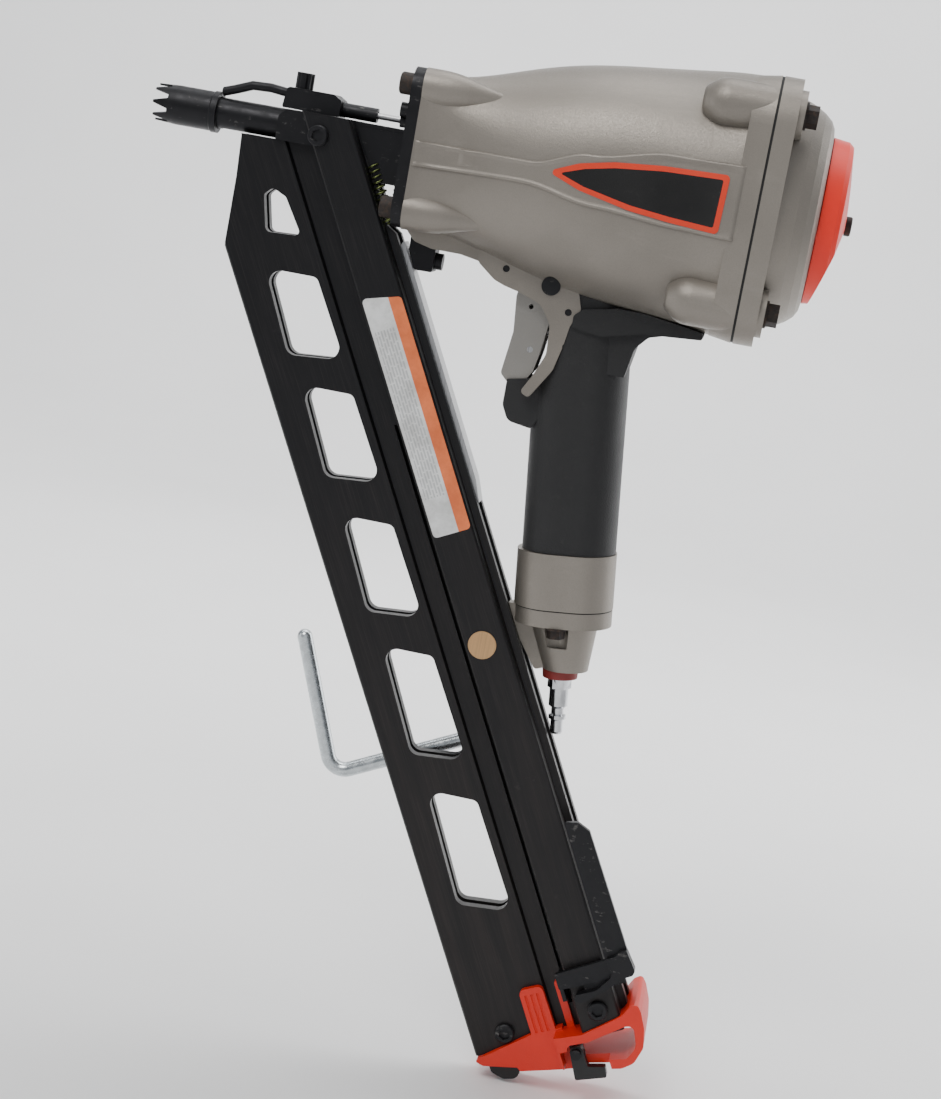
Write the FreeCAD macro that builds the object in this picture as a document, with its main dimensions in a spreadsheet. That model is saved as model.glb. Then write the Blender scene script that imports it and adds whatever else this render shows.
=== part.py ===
import FreeCAD, Part
import math
import os
import Sketcher

# Hand-held pneumatic strip nailer. Millimetres throughout.
# +X runs along the drive axis from the muzzle to the cylinder cap, +Z is up, +Y is the right-hand side.
# The origin is the mouth of the fixed guide tube, on the drive axis.

os.makedirs("parts", exist_ok=True)
document = FreeCAD.newDocument("StripNailer")
Vector = FreeCAD.Vector
Rotation = FreeCAD.Rotation
Placement = FreeCAD.Placement

SIZES = {
    # drive axis stations
    "tube_length": 56.0,
    "plate_front": 119.4,
    "housing_front": 125.0,
    "housing_rear": 293.0,
    "gasket_thickness": 1.2,
    "cap_flange": 9.4,
    "lug_height": 12.4,
    # nose
    "tube_radius": 7.8,
    "drive_bore_radius": 4.2,
    "nail_slot": 4.8,
    "plate_width": 84.0,
    "plate_height": 78.0,
    "front_bolt_y": 34.0,
    "front_bolt_z": 30.0,
    "front_bolt_radius": 3.0,
    # cylinder end
    "flange_width": 124.0,
    "flange_height": 128.0,
    "flange_corner": 24.0,
    "rear_bolt_y": 48.0,
    "rear_bolt_z": 47.0,
    "rear_bolt_radius": 3.0,
    "sleeve_radius": 30.0,
    "cylinder_radius": 27.0,
    "deflector_radius": 41.0,
    # handle, measured along its own axis from the drive axis
    "handle_foot_x": 211.8,
    "handle_lean": 6.5,
    "core_half_x": 20.5,
    "core_half_y": 16.5,
    "grip_half_x": 24.0,
    "grip_half_y": 20.0,
    "grip_end": 186.5,
    "collar_end": 215.5,
    "cap_end": 249.0,
    "chamber_radius": 11.0,
    # trigger
    "pivot_x": 201.3,
    "pivot_z": -54.0,
    "pivot_radius": 3.0,
    "cheek_width": 41.0,
    "slot_width": 25.0,
    "trigger_width": 23.8,
    "valve_z": -78.0,
    # magazine, measured in its own slanted frame
    "magazine_x": 32.3,
    "magazine_z": -65.0,
    "magazine_angle": 27.0,
    "magazine_length": 446.0,
    "magazine_slot": 4.8,
    "plate_face": 8.0,
    "rib_face": 20.0,
    "rib_left": 61.0,
    "rib_right": 83.0,
    "magazine_rear": 86.8,
    # work contact
    "crown_front": -15.2,
    "crown_rear": 17.6,
    "crown_radius": 9.9,
    "crown_bore": 8.2,
    "rod_z": 12.3,
}

sheet = document.addObject("Spreadsheet::Sheet", "Sizes")
for row, (alias, amount) in enumerate(SIZES.items(), start=1):
    sheet.set("A%d" % row, alias)
    sheet.set("B%d" % row, str(amount))
    sheet.setAlias("B%d" % row, alias)
document.recompute()


class Dim:
    """A sheet size times a factor plus an offset, kept both as a number and as an expression."""

    def __init__(self, alias, factor=1.0, offset=0.0):
        self.number = SIZES[alias] * factor + offset
        sign = "-" if offset < 0 else "+"
        self.text = "Sizes.%s * (%s) %s %s" % (alias, factor, sign, abs(offset))


def number(amount):
    return amount.number if isinstance(amount, Dim) else float(amount)


def bind(thing, name, amount):
    if isinstance(amount, Dim):
        thing.setExpression(name, amount.text)


HANDLE = Placement(
    Vector(SIZES["handle_foot_x"], 0, 0),
    Rotation(Vector(0, 1, 0), -SIZES["handle_lean"]),
)
MAGAZINE = Placement(
    Vector(SIZES["magazine_x"], 0, SIZES["magazine_z"]),
    Rotation(Vector(0, 1, 0), -SIZES["magazine_angle"]),
)
PIECES = []


# ---------------------------------------------------------------- sketch and feature helpers


def new_body(label, placement=None):
    """Start a body; its placement is the slanted frame it is drawn in."""
    body = document.addObject("PartDesign::Body", label)
    body.Label = label
    if placement is not None:
        body.Placement = placement
    PIECES.append(body)
    return body


def new_sketch(body, plane, offset=0.0):
    """A sketch on one of the body's own planes, moved along the plane's normal."""
    sketch = body.newObject("Sketcher::SketchObject", body.Name + "Sketch")
    role = plane + "_Plane"
    support = [item for item in body.Origin.OriginFeatures if item.Role == role][0]
    sketch.AttachmentSupport = [(support, "")]
    sketch.MapMode = "FlatFace"
    sketch.AttachmentOffset = Placement(Vector(0, 0, number(offset)), Rotation())
    bind(sketch, "AttachmentOffset.Base.z", offset)
    return sketch


def slanted_sketch(body, along):
    """A sketch across the handle axis, at a distance down the handle."""
    sketch = new_sketch(body, "XY")
    place = HANDLE.multiply(Placement(Vector(0, 0, -number(along)), Rotation()))
    sketch.AttachmentOffset = place
    return sketch


def pin_point(sketch, geometry, end, point):
    """Fix a point from the sketch origin, bound to the sheet where it is driven by it."""
    for kind, amount in (("DistanceX", point[0]), ("DistanceY", point[1])):
        rule = Sketcher.Constraint(kind, -1, 1, geometry, end, number(amount))
        index = sketch.addConstraint(rule)
        bind(sketch, "Constraints[%d]" % index, amount)


def add_circle(sketch, centre, radius):
    middle = Vector(number(centre[0]), number(centre[1]), 0)
    circle = Part.Circle(middle, Vector(0, 0, 1), number(radius))
    geometry = sketch.addGeometry(circle)
    pin_point(sketch, geometry, 3, centre)
    index = sketch.addConstraint(Sketcher.Constraint("Radius", geometry, number(radius)))
    bind(sketch, "Constraints[%d]" % index, radius)


def add_polygon(sketch, points):
    """A closed outline with every corner dimensioned from the sketch origin."""
    first = sketch.GeometryCount
    count = len(points)
    flat = [Vector(number(x), number(y), 0) for x, y in points]
    for index in range(count):
        sketch.addGeometry(Part.LineSegment(flat[index], flat[(index + 1) % count]))
    for index in range(count):
        following = first + (index + 1) % count
        sketch.addConstraint(Sketcher.Constraint("Coincident", first + index, 2, following, 1))
    for index in range(count):
        pin_point(sketch, first + index, 1, points[index])


def add_rectangle(sketch, left, bottom, right, top):
    add_polygon(sketch, [(left, bottom), (right, bottom), (right, top), (left, top)])


def rounded_corners(points, radii):
    """Lines and arcs of an outline whose corners are rounded by the radii given."""
    count = len(points)
    starts, ends, arcs = [], [], []
    for index in range(count):
        here = Vector(points[index][0], points[index][1], 0)
        before = Vector(points[index - 1][0], points[index - 1][1], 0) - here
        after = Vector(points[(index + 1) % count][0], points[(index + 1) % count][1], 0) - here
        radius = radii[index]
        half = before.getAngle(after) / 2
        before.normalize()
        after.normalize()
        reach = radius / math.tan(half)
        bisector = before + after
        if radius < 0.01 or bisector.Length < 0.02:
            starts.append(here)
            ends.append(here)
            arcs.append(None)
            continue
        bisector.normalize()
        centre = here + bisector * (radius / math.sin(half))
        middle = centre - bisector * radius
        starts.append(here + before * reach)
        ends.append(here + after * reach)
        arcs.append(Part.Arc(starts[-1], middle, ends[-1]))
    pieces = []
    for index in range(count):
        if arcs[index] is not None:
            pieces.append(arcs[index])
        pieces.append(Part.LineSegment(ends[index], starts[(index + 1) % count]))
    return pieces


def add_outline(sketch, points, radii):
    """A freeform outline with rounded corners, held in place as drawn."""
    if not isinstance(radii, (list, tuple)):
        radii = [radii] * len(points)
    flat = [(number(x), number(y)) for x, y in points]
    pieces = rounded_corners(flat, radii)
    first = sketch.GeometryCount
    for piece in pieces:
        sketch.addGeometry(piece)
    for index in range(len(pieces)):
        sketch.addConstraint(Sketcher.Constraint("Block", first + index))


def add_rounded_rectangle(sketch, half_x, half_y, radius, centre=(0.0, 0.0)):
    """A rounded rectangle dimensioned by its half sizes and its corner radius."""
    hx, hy, r = number(half_x), number(half_y), number(radius)
    cx, cy = centre
    corners = [(cx + hx, cy + hy), (cx - hx, cy + hy), (cx - hx, cy - hy), (cx + hx, cy - hy)]
    add_outline(sketch, corners, r)


def finish(body, feature):
    body.Tip = feature
    document.recompute()
    return feature


def make_pad(body, sketch, length, both_ways=False, backwards=False, taper=0.0):
    pad = body.newObject("PartDesign::Pad", body.Name + "Pad")
    pad.Profile = sketch
    pad.TaperAngle = taper
    pad.Length = number(length)
    bind(pad, "Length", length)
    pad.SideType = "Symmetric" if both_ways else "One side"
    pad.Reversed = backwards
    return finish(body, pad)


def make_pocket(body, sketch, length, both_ways=False, backwards=False):
    before = body.Shape.Volume
    pocket = body.newObject("PartDesign::Pocket", body.Name + "Pocket")
    pocket.Profile = sketch
    pocket.Length = number(length)
    bind(pocket, "Length", length)
    pocket.SideType = "Symmetric" if both_ways else "One side"
    pocket.Reversed = backwards
    finish(body, pocket)
    if before - body.Shape.Volume < 0.01:
        raise RuntimeError("a pocket cut nothing in " + body.Label)
    return pocket


def make_turned(body, sketch, cut=False, axis="H_Axis"):
    kind = "PartDesign::Groove" if cut else "PartDesign::Revolution"
    turned = body.newObject(kind, body.Name + "Turned")
    turned.Profile = sketch
    turned.ReferenceAxis = (sketch, [axis])
    turned.Angle = 360
    return finish(body, turned)


def make_loft(body, kind, stations):
    """Add or cut a smooth loft through rounded rectangles across the drive axis."""
    sections = []
    for station, half_y, half_z, corner in stations:
        sketch = new_sketch(body, "YZ", station)
        add_rounded_rectangle(sketch, half_y, half_z, corner)
        sections.append(sketch)
    loft = body.newObject(kind, body.Name + "Loft")
    loft.Profile = sections[0]
    loft.Sections = sections[1:]
    loft.Ruled = False
    return finish(body, loft)


def turned_along_x(label, outline):
    """A body of revolution about the drive axis, from an outline of station and radius."""
    body = new_body(label)
    sketch = new_sketch(body, "XZ")
    add_polygon(sketch, outline)
    make_turned(body, sketch)
    return body


def turned_along_handle(label, outline):
    """A body of revolution about the handle axis, from an outline of radius and distance down it."""
    body = new_body(label, HANDLE)
    sketch = new_sketch(body, "XZ")
    add_polygon(sketch, [(radius, -along) for radius, along in outline])
    make_turned(body, sketch, axis="V_Axis")
    return body


def keep_shape(label, shape, placement=None):
    """A piece whose shape is made by solid functions from the sheet's sizes."""
    piece = document.addObject("Part::Feature", label)
    piece.Shape = shape
    if placement is not None:
        piece.Placement = placement
    piece.Label = label
    PIECES.append(piece)
    return piece


def prism(points, low, high, radii=0.0, placement=None):
    """A solid with its outline in the XZ plane, between two values of Y."""
    if not isinstance(radii, (list, tuple)):
        radii = [radii] * len(points)
    edges = [piece.toShape() for piece in rounded_corners(points, radii)]
    edges = [edge for edge in edges if edge.Length > 1e-6]
    face = Part.Face(Part.Wire(edges))
    face.rotate(Vector(0, 0, 0), Vector(1, 0, 0), 90)
    face.translate(Vector(0, low, 0))
    solid = face.extrude(Vector(0, high - low, 0))
    return solid if placement is None else moved(solid, placement)


def moved(shape, placement):
    copy = shape.copy()
    copy.Placement = placement.multiply(copy.Placement)
    return copy


def rod(radius, start, end):
    direction = end - start
    return Part.makeCylinder(radius, direction.Length, start, direction)


def hexagon_prism(across_flats, height, start, direction):
    """A hexagonal bar standing on a point."""
    radius = across_flats / math.sqrt(3)
    corners = [
        Vector(radius * math.cos(math.radians(60 * k)), radius * math.sin(math.radians(60 * k)), 0)
        for k in range(6)
    ]
    bar = Part.Face(Part.makePolygon(corners + corners[:1])).extrude(Vector(0, 0, height))
    bar.Placement = Placement(start, Rotation(Vector(0, 0, 1), direction))
    return bar


# ---------------------------------------------------------------- barrel housing

BARREL_SECTIONS = [
    # station, half width, half height, corner radius
    (125.0, 42.0, 39.0, 14.0),
    (148.0, 41.2, 39.8, 26.0),
    (165.0, 46.0, 45.3, 38.0),
    (204.0, 54.5, 55.3, 48.0),
    (246.0, 58.5, 60.5, 52.0),
    (293.0, 59.5, 63.0, 44.0),
]
BUMPER_SEAT = [
    # station and radius of the round seat in front of the air chamber
    (123.0, 0.0),
    (123.0, 15.0),
    (133.0, 15.0),
    (133.0, 31.0),
    (148.0, 31.0),
    (148.0, 0.0),
]
CHAMBER_SECTIONS = [
    # station, half width, half height, corner radius of the air chamber round the cylinder sleeve
    (142.0, 33.5, 32.6, 26.0),
    (165.0, 40.0, 39.3, 33.0),
    (204.0, 47.5, 44.4, 38.0),
    (246.0, 52.0, 54.0, 46.0),
    (293.2, 53.0, 56.0, 44.0),
]
CHEEK = [
    (163.0, -42.0),
    (162.8, -48.5),
    (172.8, -56.1),
    (178.3, -58.1),
    (186.7, -60.0),
    (197.9, -63.9),
    (204.1, -72.7),
    (204.9, -87.7),
    (200.5, -98.5),
    (195.2, -108.4),
    (199.9, -110.6),
    (209.5, -95.0),
    (212.5, -82.0),
    (214.0, -72.0),
    (218.0, -63.0),
    (214.0, -50.0),
    (206.0, -41.0),
]
CHEEK_RADII = [0, 5, 6, 6, 5, 10, 10, 8, 2, 2, 2, 8, 6, 6, 3, 4, 4]
TRIGGER_SLOT = [
    (181.0, -49.0),
    (206.5, -49.0),
    (206.5, -60.0),
    (205.5, -64.0),
    (205.5, -109.5),
    (176.0, -109.5),
    (165.0, -80.0),
    (174.0, -55.0),
]
CHEEK_PINS = [(177.8, -49.7), (212.0, -65.3), (213.8, -82.4)]


def bolt_grid(alias_y, alias_z):
    return [
        (Dim(alias_y, sign_y), Dim(alias_z, sign_z))
        for sign_y in (-1, 1)
        for sign_z in (-1, 1)
    ]


def round_boss(body, centre, outline, radii):
    """A boss turned about a bolt axis, with a rounded nose that runs out into the barrel."""
    sketch = new_sketch(body, "XZ")
    sketch.AttachmentOffset = Placement(Vector(0, number(centre[1]), -number(centre[0])), Rotation())
    add_outline(sketch, outline, radii)
    make_turned(body, sketch)


def make_housing():
    """Cast barrel with its chin, trigger cheeks, handle core and collar."""
    body = new_body("housing")
    make_loft(body, "PartDesign::AdditiveLoft", BARREL_SECTIONS)

    chin = new_sketch(body, "XZ")
    chin_points = [(125.0, -34), (125.2, -40.2), (129.6, -44.8), (139, -47), (153.5, -47),
                   (163, -48.6), (172, -50), (186, -46), (150, -30)]
    add_outline(chin, chin_points, [0, 2, 5, 6, 6, 4, 4, 0, 0])
    make_pad(body, chin, 36.0, both_ways=True)

    front = SIZES["housing_front"]
    for centre in bolt_grid("front_bolt_y", "front_bolt_z"):
        round_boss(body, centre, [(front, 0), (front, 9.3), (front + 15, 9.3), (front + 50, 0)],
                   [0, 0, 60, 0])
    rear = SIZES["housing_rear"]
    for centre in bolt_grid("rear_bolt_y", "rear_bolt_z"):
        round_boss(body, centre, [(rear, 0), (rear - 42, 0), (rear - 27, 11.8), (rear, 11.8)], [0, 4, 14, 0])

    rim = new_sketch(body, "YZ", Dim("housing_rear"))
    add_rounded_rectangle(rim, SIZES["flange_width"] / 2, SIZES["flange_height"] / 2, SIZES["flange_corner"])
    make_pad(body, rim, 11.0, backwards=True, taper=-9.0)

    cheeks = new_sketch(body, "XZ")
    add_outline(cheeks, CHEEK, CHEEK_RADII)
    make_pad(body, cheeks, Dim("cheek_width"), both_ways=True)

    core = slanted_sketch(body, 48.0)
    add_rounded_rectangle(core, SIZES["core_half_x"], SIZES["core_half_y"], SIZES["core_half_y"] - 0.5)
    make_pad(body, core, Dim("grip_end", 1.0, -47.5), backwards=True)

    collar = slanted_sketch(body, SIZES["grip_end"] + 0.3)
    add_rounded_rectangle(collar, 25.5, 21.0, 20.0, centre=(-0.8, 0.0))
    make_pad(body, collar, Dim("collar_end", 1.0, -SIZES["grip_end"] - 0.3), backwards=True)

    seat = new_sketch(body, "XZ")
    add_polygon(seat, BUMPER_SEAT)
    make_turned(body, seat, cut=True)
    make_loft(body, "PartDesign::SubtractiveLoft", CHAMBER_SECTIONS)

    passage = slanted_sketch(body, SIZES["collar_end"] + 1.0)
    add_circle(passage, (0.0, 0.0), Dim("chamber_radius"))
    make_pocket(body, passage, Dim("collar_end", 1.0, -29.0), backwards=True)
    reservoir = slanted_sketch(body, 190.0)
    add_rounded_rectangle(reservoir, 15.2, 12.2, 11.5)
    make_pocket(body, reservoir, 100.0, backwards=True)

    slot = new_sketch(body, "XZ")
    add_polygon(slot, TRIGGER_SLOT)
    make_pocket(body, slot, Dim("slot_width"), both_ways=True)

    valve_bore = new_sketch(body, "YZ", 204.0)
    add_circle(valve_bore, (0.0, Dim("valve_z")), 7.0)
    make_pocket(body, valve_bore, 10.0, backwards=True)

    holes = new_sketch(body, "XZ")
    add_circle(holes, (Dim("pivot_x"), Dim("pivot_z")), Dim("pivot_radius"))
    for centre in CHEEK_PINS:
        add_circle(holes, centre, 1.75)
    make_pocket(body, holes, 60.0, both_ways=True)
    for side in (-1, 1):
        head_seat = new_sketch(body, "XZ", Dim("cheek_width", -0.5 * side))
        add_circle(head_seat, (Dim("pivot_x"), Dim("pivot_z")), 5.0)
        make_pocket(body, head_seat, 9.0, backwards=side < 0)

    front_holes = new_sketch(body, "YZ", Dim("housing_front", 1.0, -0.5))
    for centre in bolt_grid("front_bolt_y", "front_bolt_z"):
        add_circle(front_holes, centre, Dim("front_bolt_radius", 1.0, 0.05))
    make_pocket(body, front_holes, 20.5, backwards=True)

    rear_holes = new_sketch(body, "YZ", Dim("housing_rear", 1.0, 0.5))
    for centre in bolt_grid("rear_bolt_y", "rear_bolt_z"):
        add_circle(rear_holes, centre, Dim("rear_bolt_radius", 1.0, 0.05))
    make_pocket(body, rear_holes, 20.5)

    grip_holes = slanted_sketch(body, SIZES["collar_end"] + 0.5)
    for side in (-1, 1):
        add_circle(grip_holes, (-2.4, 16.8 * side), 2.05)
    make_pocket(body, grip_holes, 18.5, backwards=True)

    button = new_sketch(body, "XZ")
    add_rectangle(button, 149.6, -3.4, 155.4, 3.6)
    make_pad(body, button, 86.4, both_ways=True)
    inner = new_sketch(body, "XZ")
    add_rectangle(inner, 148.6, -4.4, 156.4, 4.6)
    make_pocket(body, inner, 76.0, both_ways=True)
    return body


def barrel_loft(growth):
    """The barrel's outer shape, grown outwards all round."""
    wires = []
    for station, half_y, half_z, corner in BARREL_SECTIONS:
        half = [half_y + growth, half_z + growth]
        corners = [(half[0], half[1]), (-half[0], half[1]), (-half[0], -half[1]), (half[0], -half[1])]
        pieces = rounded_corners(corners, [corner + growth] * 4)
        wire = Part.Wire([piece.toShape() for piece in pieces])
        wire.Placement = Placement(
            Vector(station, 0, 0),
            Rotation(Vector(0, 1, 0), Vector(0, 0, 1), Vector(1, 0, 0), "XYZ"),
        )
        wires.append(wire)
    return Part.makeLoft(wires, True, False)


# ---------------------------------------------------------------- grip and its end


def handle_oval(half_x, half_y, radius, start, end, shift=0.0):
    """A rounded bar along the handle between two distances down it."""
    corners = [(half_x, half_y), (-half_x, half_y), (-half_x, -half_y), (half_x, -half_y)]
    wire = Part.Wire([piece.toShape() for piece in rounded_corners(corners, [radius] * 4)])
    face = Part.Face(wire)
    face.translate(Vector(shift, 0, -end))
    return moved(face.extrude(Vector(0, 0, end - start)), HANDLE)


def make_grip_sleeve(housing):
    """Rubber sleeve with the finger stop in front and the pad under the barrel."""
    sleeve = handle_oval(
        SIZES["grip_half_x"], SIZES["grip_half_y"], SIZES["grip_half_y"] - 1.5, 50.0, SIZES["grip_end"]
    )
    stop = prism(
        [(187.2, -104.0), (187.2, -117.0), (191.0, -124.6), (203.5, -126.5), (212.0, -108.0),
         (206.0, -100.0)],
        -13.5, 13.5, [0, 6, 5, 2, 0, 0],
    )
    pad = prism(
        [(216.0, -65.0), (220.0, -61.8), (236.0, -58.8), (242.0, -48.0), (279.6, -48.0), (279.6, -66.8),
         (262.0, -67.8), (253.2, -70.4), (247.4, -77.0), (244.8, -92.0), (214.0, -92.0)],
        -18.0, 18.0, [3, 3, 0, 0, 0, 2, 10, 4, 6, 0, 0],
    )
    wrap = prism(
        [(215.0, -72.0), (215.0, -66.0), (219.0, -62.4), (236.0, -59.2), (249.0, -59.0), (262.6, -60.8),
         (279.0, -63.4), (279.4, -66.6), (250.0, -69.0), (230.0, -74.0)],
        -22.0, 22.0, [0, 3, 3, 0, 0, 0, 1, 1, 6, 0],
    )
    solid = sleeve.fuse([stop, pad, wrap]).removeSplitter()
    inside = handle_oval(15.0, 15.0, 14.9, 30.0, SIZES["grip_end"] + 1)
    slot = prism(TRIGGER_SLOT, -SIZES["slot_width"] / 2, SIZES["slot_width"] / 2)
    solid = solid.cut(barrel_loft(0.2)).cut(inside).cut(housing.Shape).cut(slot)
    largest = max(solid.Solids, key=lambda item: item.Volume)
    return keep_shape("grip_sleeve", largest)


def make_end_cap():
    """Tapered casting at the grip's end, with the fin that carries the magazine."""
    start = SIZES["collar_end"] + 0.6
    flange = handle_oval(24.9, 21.0, 20.0, start, 224.5, shift=-0.4)
    wires = []
    for along, half_x, half_y, shift in ((224.0, 17.6, 17.0, 0.2), (SIZES["cap_end"], 11.6, 11.6, 2.6)):
        corners = [(half_x, half_y), (-half_x, half_y), (-half_x, -half_y), (half_x, -half_y)]
        radius = min(half_x, half_y) - 0.3
        wire = Part.Wire([piece.toShape() for piece in rounded_corners(corners, [radius] * 4)])
        wire.translate(Vector(shift, 0, -along))
        wires.append(moved(wire, HANDLE))
    taper = Part.makeLoft(wires, True, True)
    fin = prism(
        [(203.0, -216.9), (213.5, -216.9), (226.0, -222.0), (236.0, -240.0), (231.2, -248.2),
         (226.9, -249.8)],
        -4.0, 4.0, [1, 0, 0, 0, 0, 2],
    )
    solid = flange.fuse([taper, fin]).removeSplitter()
    magazine_side = prism(
        [(60.0, -300.0), (SIZES["magazine_rear"] + 0.02, -300.0), (SIZES["magazine_rear"] + 0.02, -100.0),
         (60.0, -100.0)],
        -30.0, 30.0, placement=MAGAZINE,
    )
    bore = handle_oval(8.0, 8.0, 7.99, 200.0, 245.0)
    mouth = handle_oval(6.5, 6.5, 6.49, 240.0, 252.0)
    above = handle_oval(40.0, 40.0, 1.0, 190.0, start)
    solid = solid.cut(magazine_side).cut(bore).cut(mouth).cut(above)
    for side in (-1, 1):
        seat = rod(6.4, Vector(-2.4, 16.8 * side, -224.5), Vector(-2.4, 16.8 * side, -236.0))
        hole = rod(2.05, Vector(-2.4, 16.8 * side, -200.0), Vector(-2.4, 16.8 * side, -236.0))
        solid = solid.cut(moved(seat.fuse(hole), HANDLE))
    largest = max(solid.Solids, key=lambda item: item.Volume)
    return keep_shape("handle_end_cap", largest)


def make_end_gasket():
    body = new_body("end_cap_gasket")
    sketch = slanted_sketch(body, SIZES["collar_end"])
    add_rounded_rectangle(sketch, 25.0, 20.6, 19.6, centre=(-0.6, 0.0))
    make_pad(body, sketch, 0.6, backwards=True)
    middle = slanted_sketch(body, SIZES["collar_end"] + 1.0)
    add_circle(middle, (0.0, 0.0), Dim("chamber_radius"))
    for side in (-1, 1):
        add_circle(middle, (-2.4, 16.8 * side), 2.05)
    make_pocket(body, middle, 2.0, backwards=True)
    return body


def make_end_bolts():
    """Two hexagon bolts that hold the end cap to the grip's collar."""
    bolts = []
    for side in (-1, 1):
        foot = Vector(-2.4, 16.8 * side, -224.5)
        washer = rod(5.8, foot, foot + Vector(0, 0, -0.9))
        head = hexagon_prism(8.0, 4.6, foot + Vector(0, 0, -5.5), Vector(0, 0, 1))
        shank = rod(2.0, foot, foot + Vector(0, 0, 26.0))
        bolts.append(moved(washer.fuse([head, shank]), HANDLE))
    return keep_shape("end_cap_bolts", Part.makeCompound(bolts))


def make_air_fittings():
    """Seal ring, plug and strainer on the handle axis."""
    end = SIZES["cap_end"]
    turned_along_handle("inlet_seal", [(5.6, end), (9.4, end), (9.0, end + 4.6), (5.6, end + 4.6)])
    turned_along_handle("inlet_filter", [(0.0, 236.0), (7.9, 236.0), (7.9, 238.0), (0.0, 238.0)])
    plug = new_body("air_plug", HANDLE)
    hexagon = new_sketch(plug, "XY", -(end + 10.2))
    corners = [(6.2 * math.cos(math.radians(60 * k)), 6.2 * math.sin(math.radians(60 * k))) for k in range(6)]
    add_polygon(hexagon, corners)
    make_pad(plug, hexagon, 5.4)
    profile = new_sketch(plug, "XZ")
    stations = [(2.6, 243.5), (5.5, 243.5), (5.5, end + 4.7), (6.0, end + 4.7), (6.0, end + 5.4),
                (4.9, end + 10.6), (4.9, end + 19.6), (3.3, end + 21.0), (3.3, end + 24.0),
                (4.5, end + 24.8), (4.5, end + 26.6), (3.2, end + 27.4), (3.2, end + 33.4),
                (2.6, end + 34.6)]
    add_polygon(profile, [(radius, -along) for radius, along in stations])
    make_turned(plug, profile, axis="V_Axis")
    bore = new_sketch(plug, "XY", -(end + 36.0))
    add_circle(bore, (0.0, 0.0), 2.6)
    make_pocket(plug, bore, 60.0, backwards=True)
    return plug


# ---------------------------------------------------------------- drive unit


def make_drive_unit():
    """Sleeve, bumper, piston with its ring and blade, and the head valve."""
    outer = Dim("sleeve_radius")
    inner = Dim("cylinder_radius")
    turned_along_x("cylinder_sleeve", [(139.0, inner), (139.0, outer), (284.0, outer), (284.0, inner)])
    turned_along_x("piston_bumper", [(133.2, 6.0), (133.2, 26.0), (138.8, 30.4), (138.9, 26.6), (147.0, 24.5),
                                     (152.6, 14.0), (152.6, 6.0)])
    turned_along_x("piston", [(268.0, 0.0), (268.0, 26.0), (269.0, 26.6), (272.4, 26.6), (272.4, 24.6),
                              (275.6, 24.6), (275.6, 26.6), (279.0, 26.6), (280.0, 26.0), (280.0, 16.0),
                              (276.5, 14.0), (276.5, 0.0)])
    turned_along_x("piston_ring", [(272.6, 24.7), (272.6, 26.93), (275.4, 26.93), (275.4, 24.7)])
    turned_along_x("driver_blade", [(119.7, 0.0), (119.7, 3.0), (120.5, 3.8), (267.9, 3.8), (267.9, 0.0)])
    turned_along_x("head_valve", [(286.0, 24.0), (286.0, 33.0), (290.0, 35.9), (298.0, 35.9), (298.0, 31.0),
                                  (291.0, 29.0), (291.0, 24.0)])


def make_cap():
    """Cylinder cap with its flange, lugs and exhaust mouth."""
    front = Dim("housing_rear", 1.0, SIZES["gasket_thickness"])
    start = front.number
    body = new_body("cylinder_cap")
    rim = new_sketch(body, "YZ", front)
    add_rounded_rectangle(rim, SIZES["flange_width"] / 2, SIZES["flange_height"] / 2, SIZES["flange_corner"])
    make_pad(body, rim, Dim("cap_flange"))
    dome = new_sketch(body, "XZ")
    add_polygon(dome, [(start, 0.0), (start, 58.5), (301.0, 58.5), (304.5, 57.4), (312.0, 54.4),
                       (317.0, 51.5),
                       (320.6, 48.4), (322.4, 45.0), (322.8, 42.0), (322.8, 0.0)])
    make_turned(body, dome)
    lugs = new_sketch(body, "YZ", front)
    for centre in bolt_grid("rear_bolt_y", "rear_bolt_z"):
        add_circle(lugs, centre, 11.5)
    make_pad(body, lugs, Dim("lug_height"))
    hollow = new_sketch(body, "XZ")
    add_polygon(hollow, [(293.0, 0.0), (293.0, 36.3), (306.0, 36.3), (306.0, 30.0), (312.0, 30.0),
                         (312.0, 34.0),
                         (318.0, 34.0), (318.0, 4.0), (324.0, 4.0), (324.0, 0.0)])
    make_turned(body, hollow, cut=True)
    ring = new_sketch(body, "XZ")
    add_polygon(ring, [(293.0, 39.5), (293.0, 52.0), (300.0, 52.0), (308.0, 49.6), (313.0, 46.4),
                       (316.6, 41.6),
                       (316.6, 39.5)])
    make_turned(body, ring, cut=True)
    mouth = new_sketch(body, "YZ", 324.0)
    add_outline(mouth, [(-22.0, 14.0), (22.0, 14.0), (22.0, 28.0), (-22.0, 28.0)], 4.0)
    make_pocket(body, mouth, 8.0)
    holes = new_sketch(body, "YZ", 308.0)
    for centre in bolt_grid("rear_bolt_y", "rear_bolt_z"):
        add_circle(holes, centre, Dim("rear_bolt_radius", 1.0, 0.05))
    make_pocket(body, holes, 16.0)
    return body


def make_cap_gasket():
    body = new_body("cap_gasket")
    sketch = new_sketch(body, "YZ", Dim("housing_rear"))
    add_rounded_rectangle(sketch, 61.6, 63.6, 23.6)
    make_pad(body, sketch, Dim("gasket_thickness"))
    holes = new_sketch(body, "YZ", Dim("housing_rear", 1.0, 3.0))
    add_circle(holes, (0.0, 0.0), 52.0)
    for centre in bolt_grid("rear_bolt_y", "rear_bolt_z"):
        add_circle(holes, centre, Dim("rear_bolt_radius", 1.0, 0.05))
    make_pocket(body, holes, 5.0)
    return body


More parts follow.
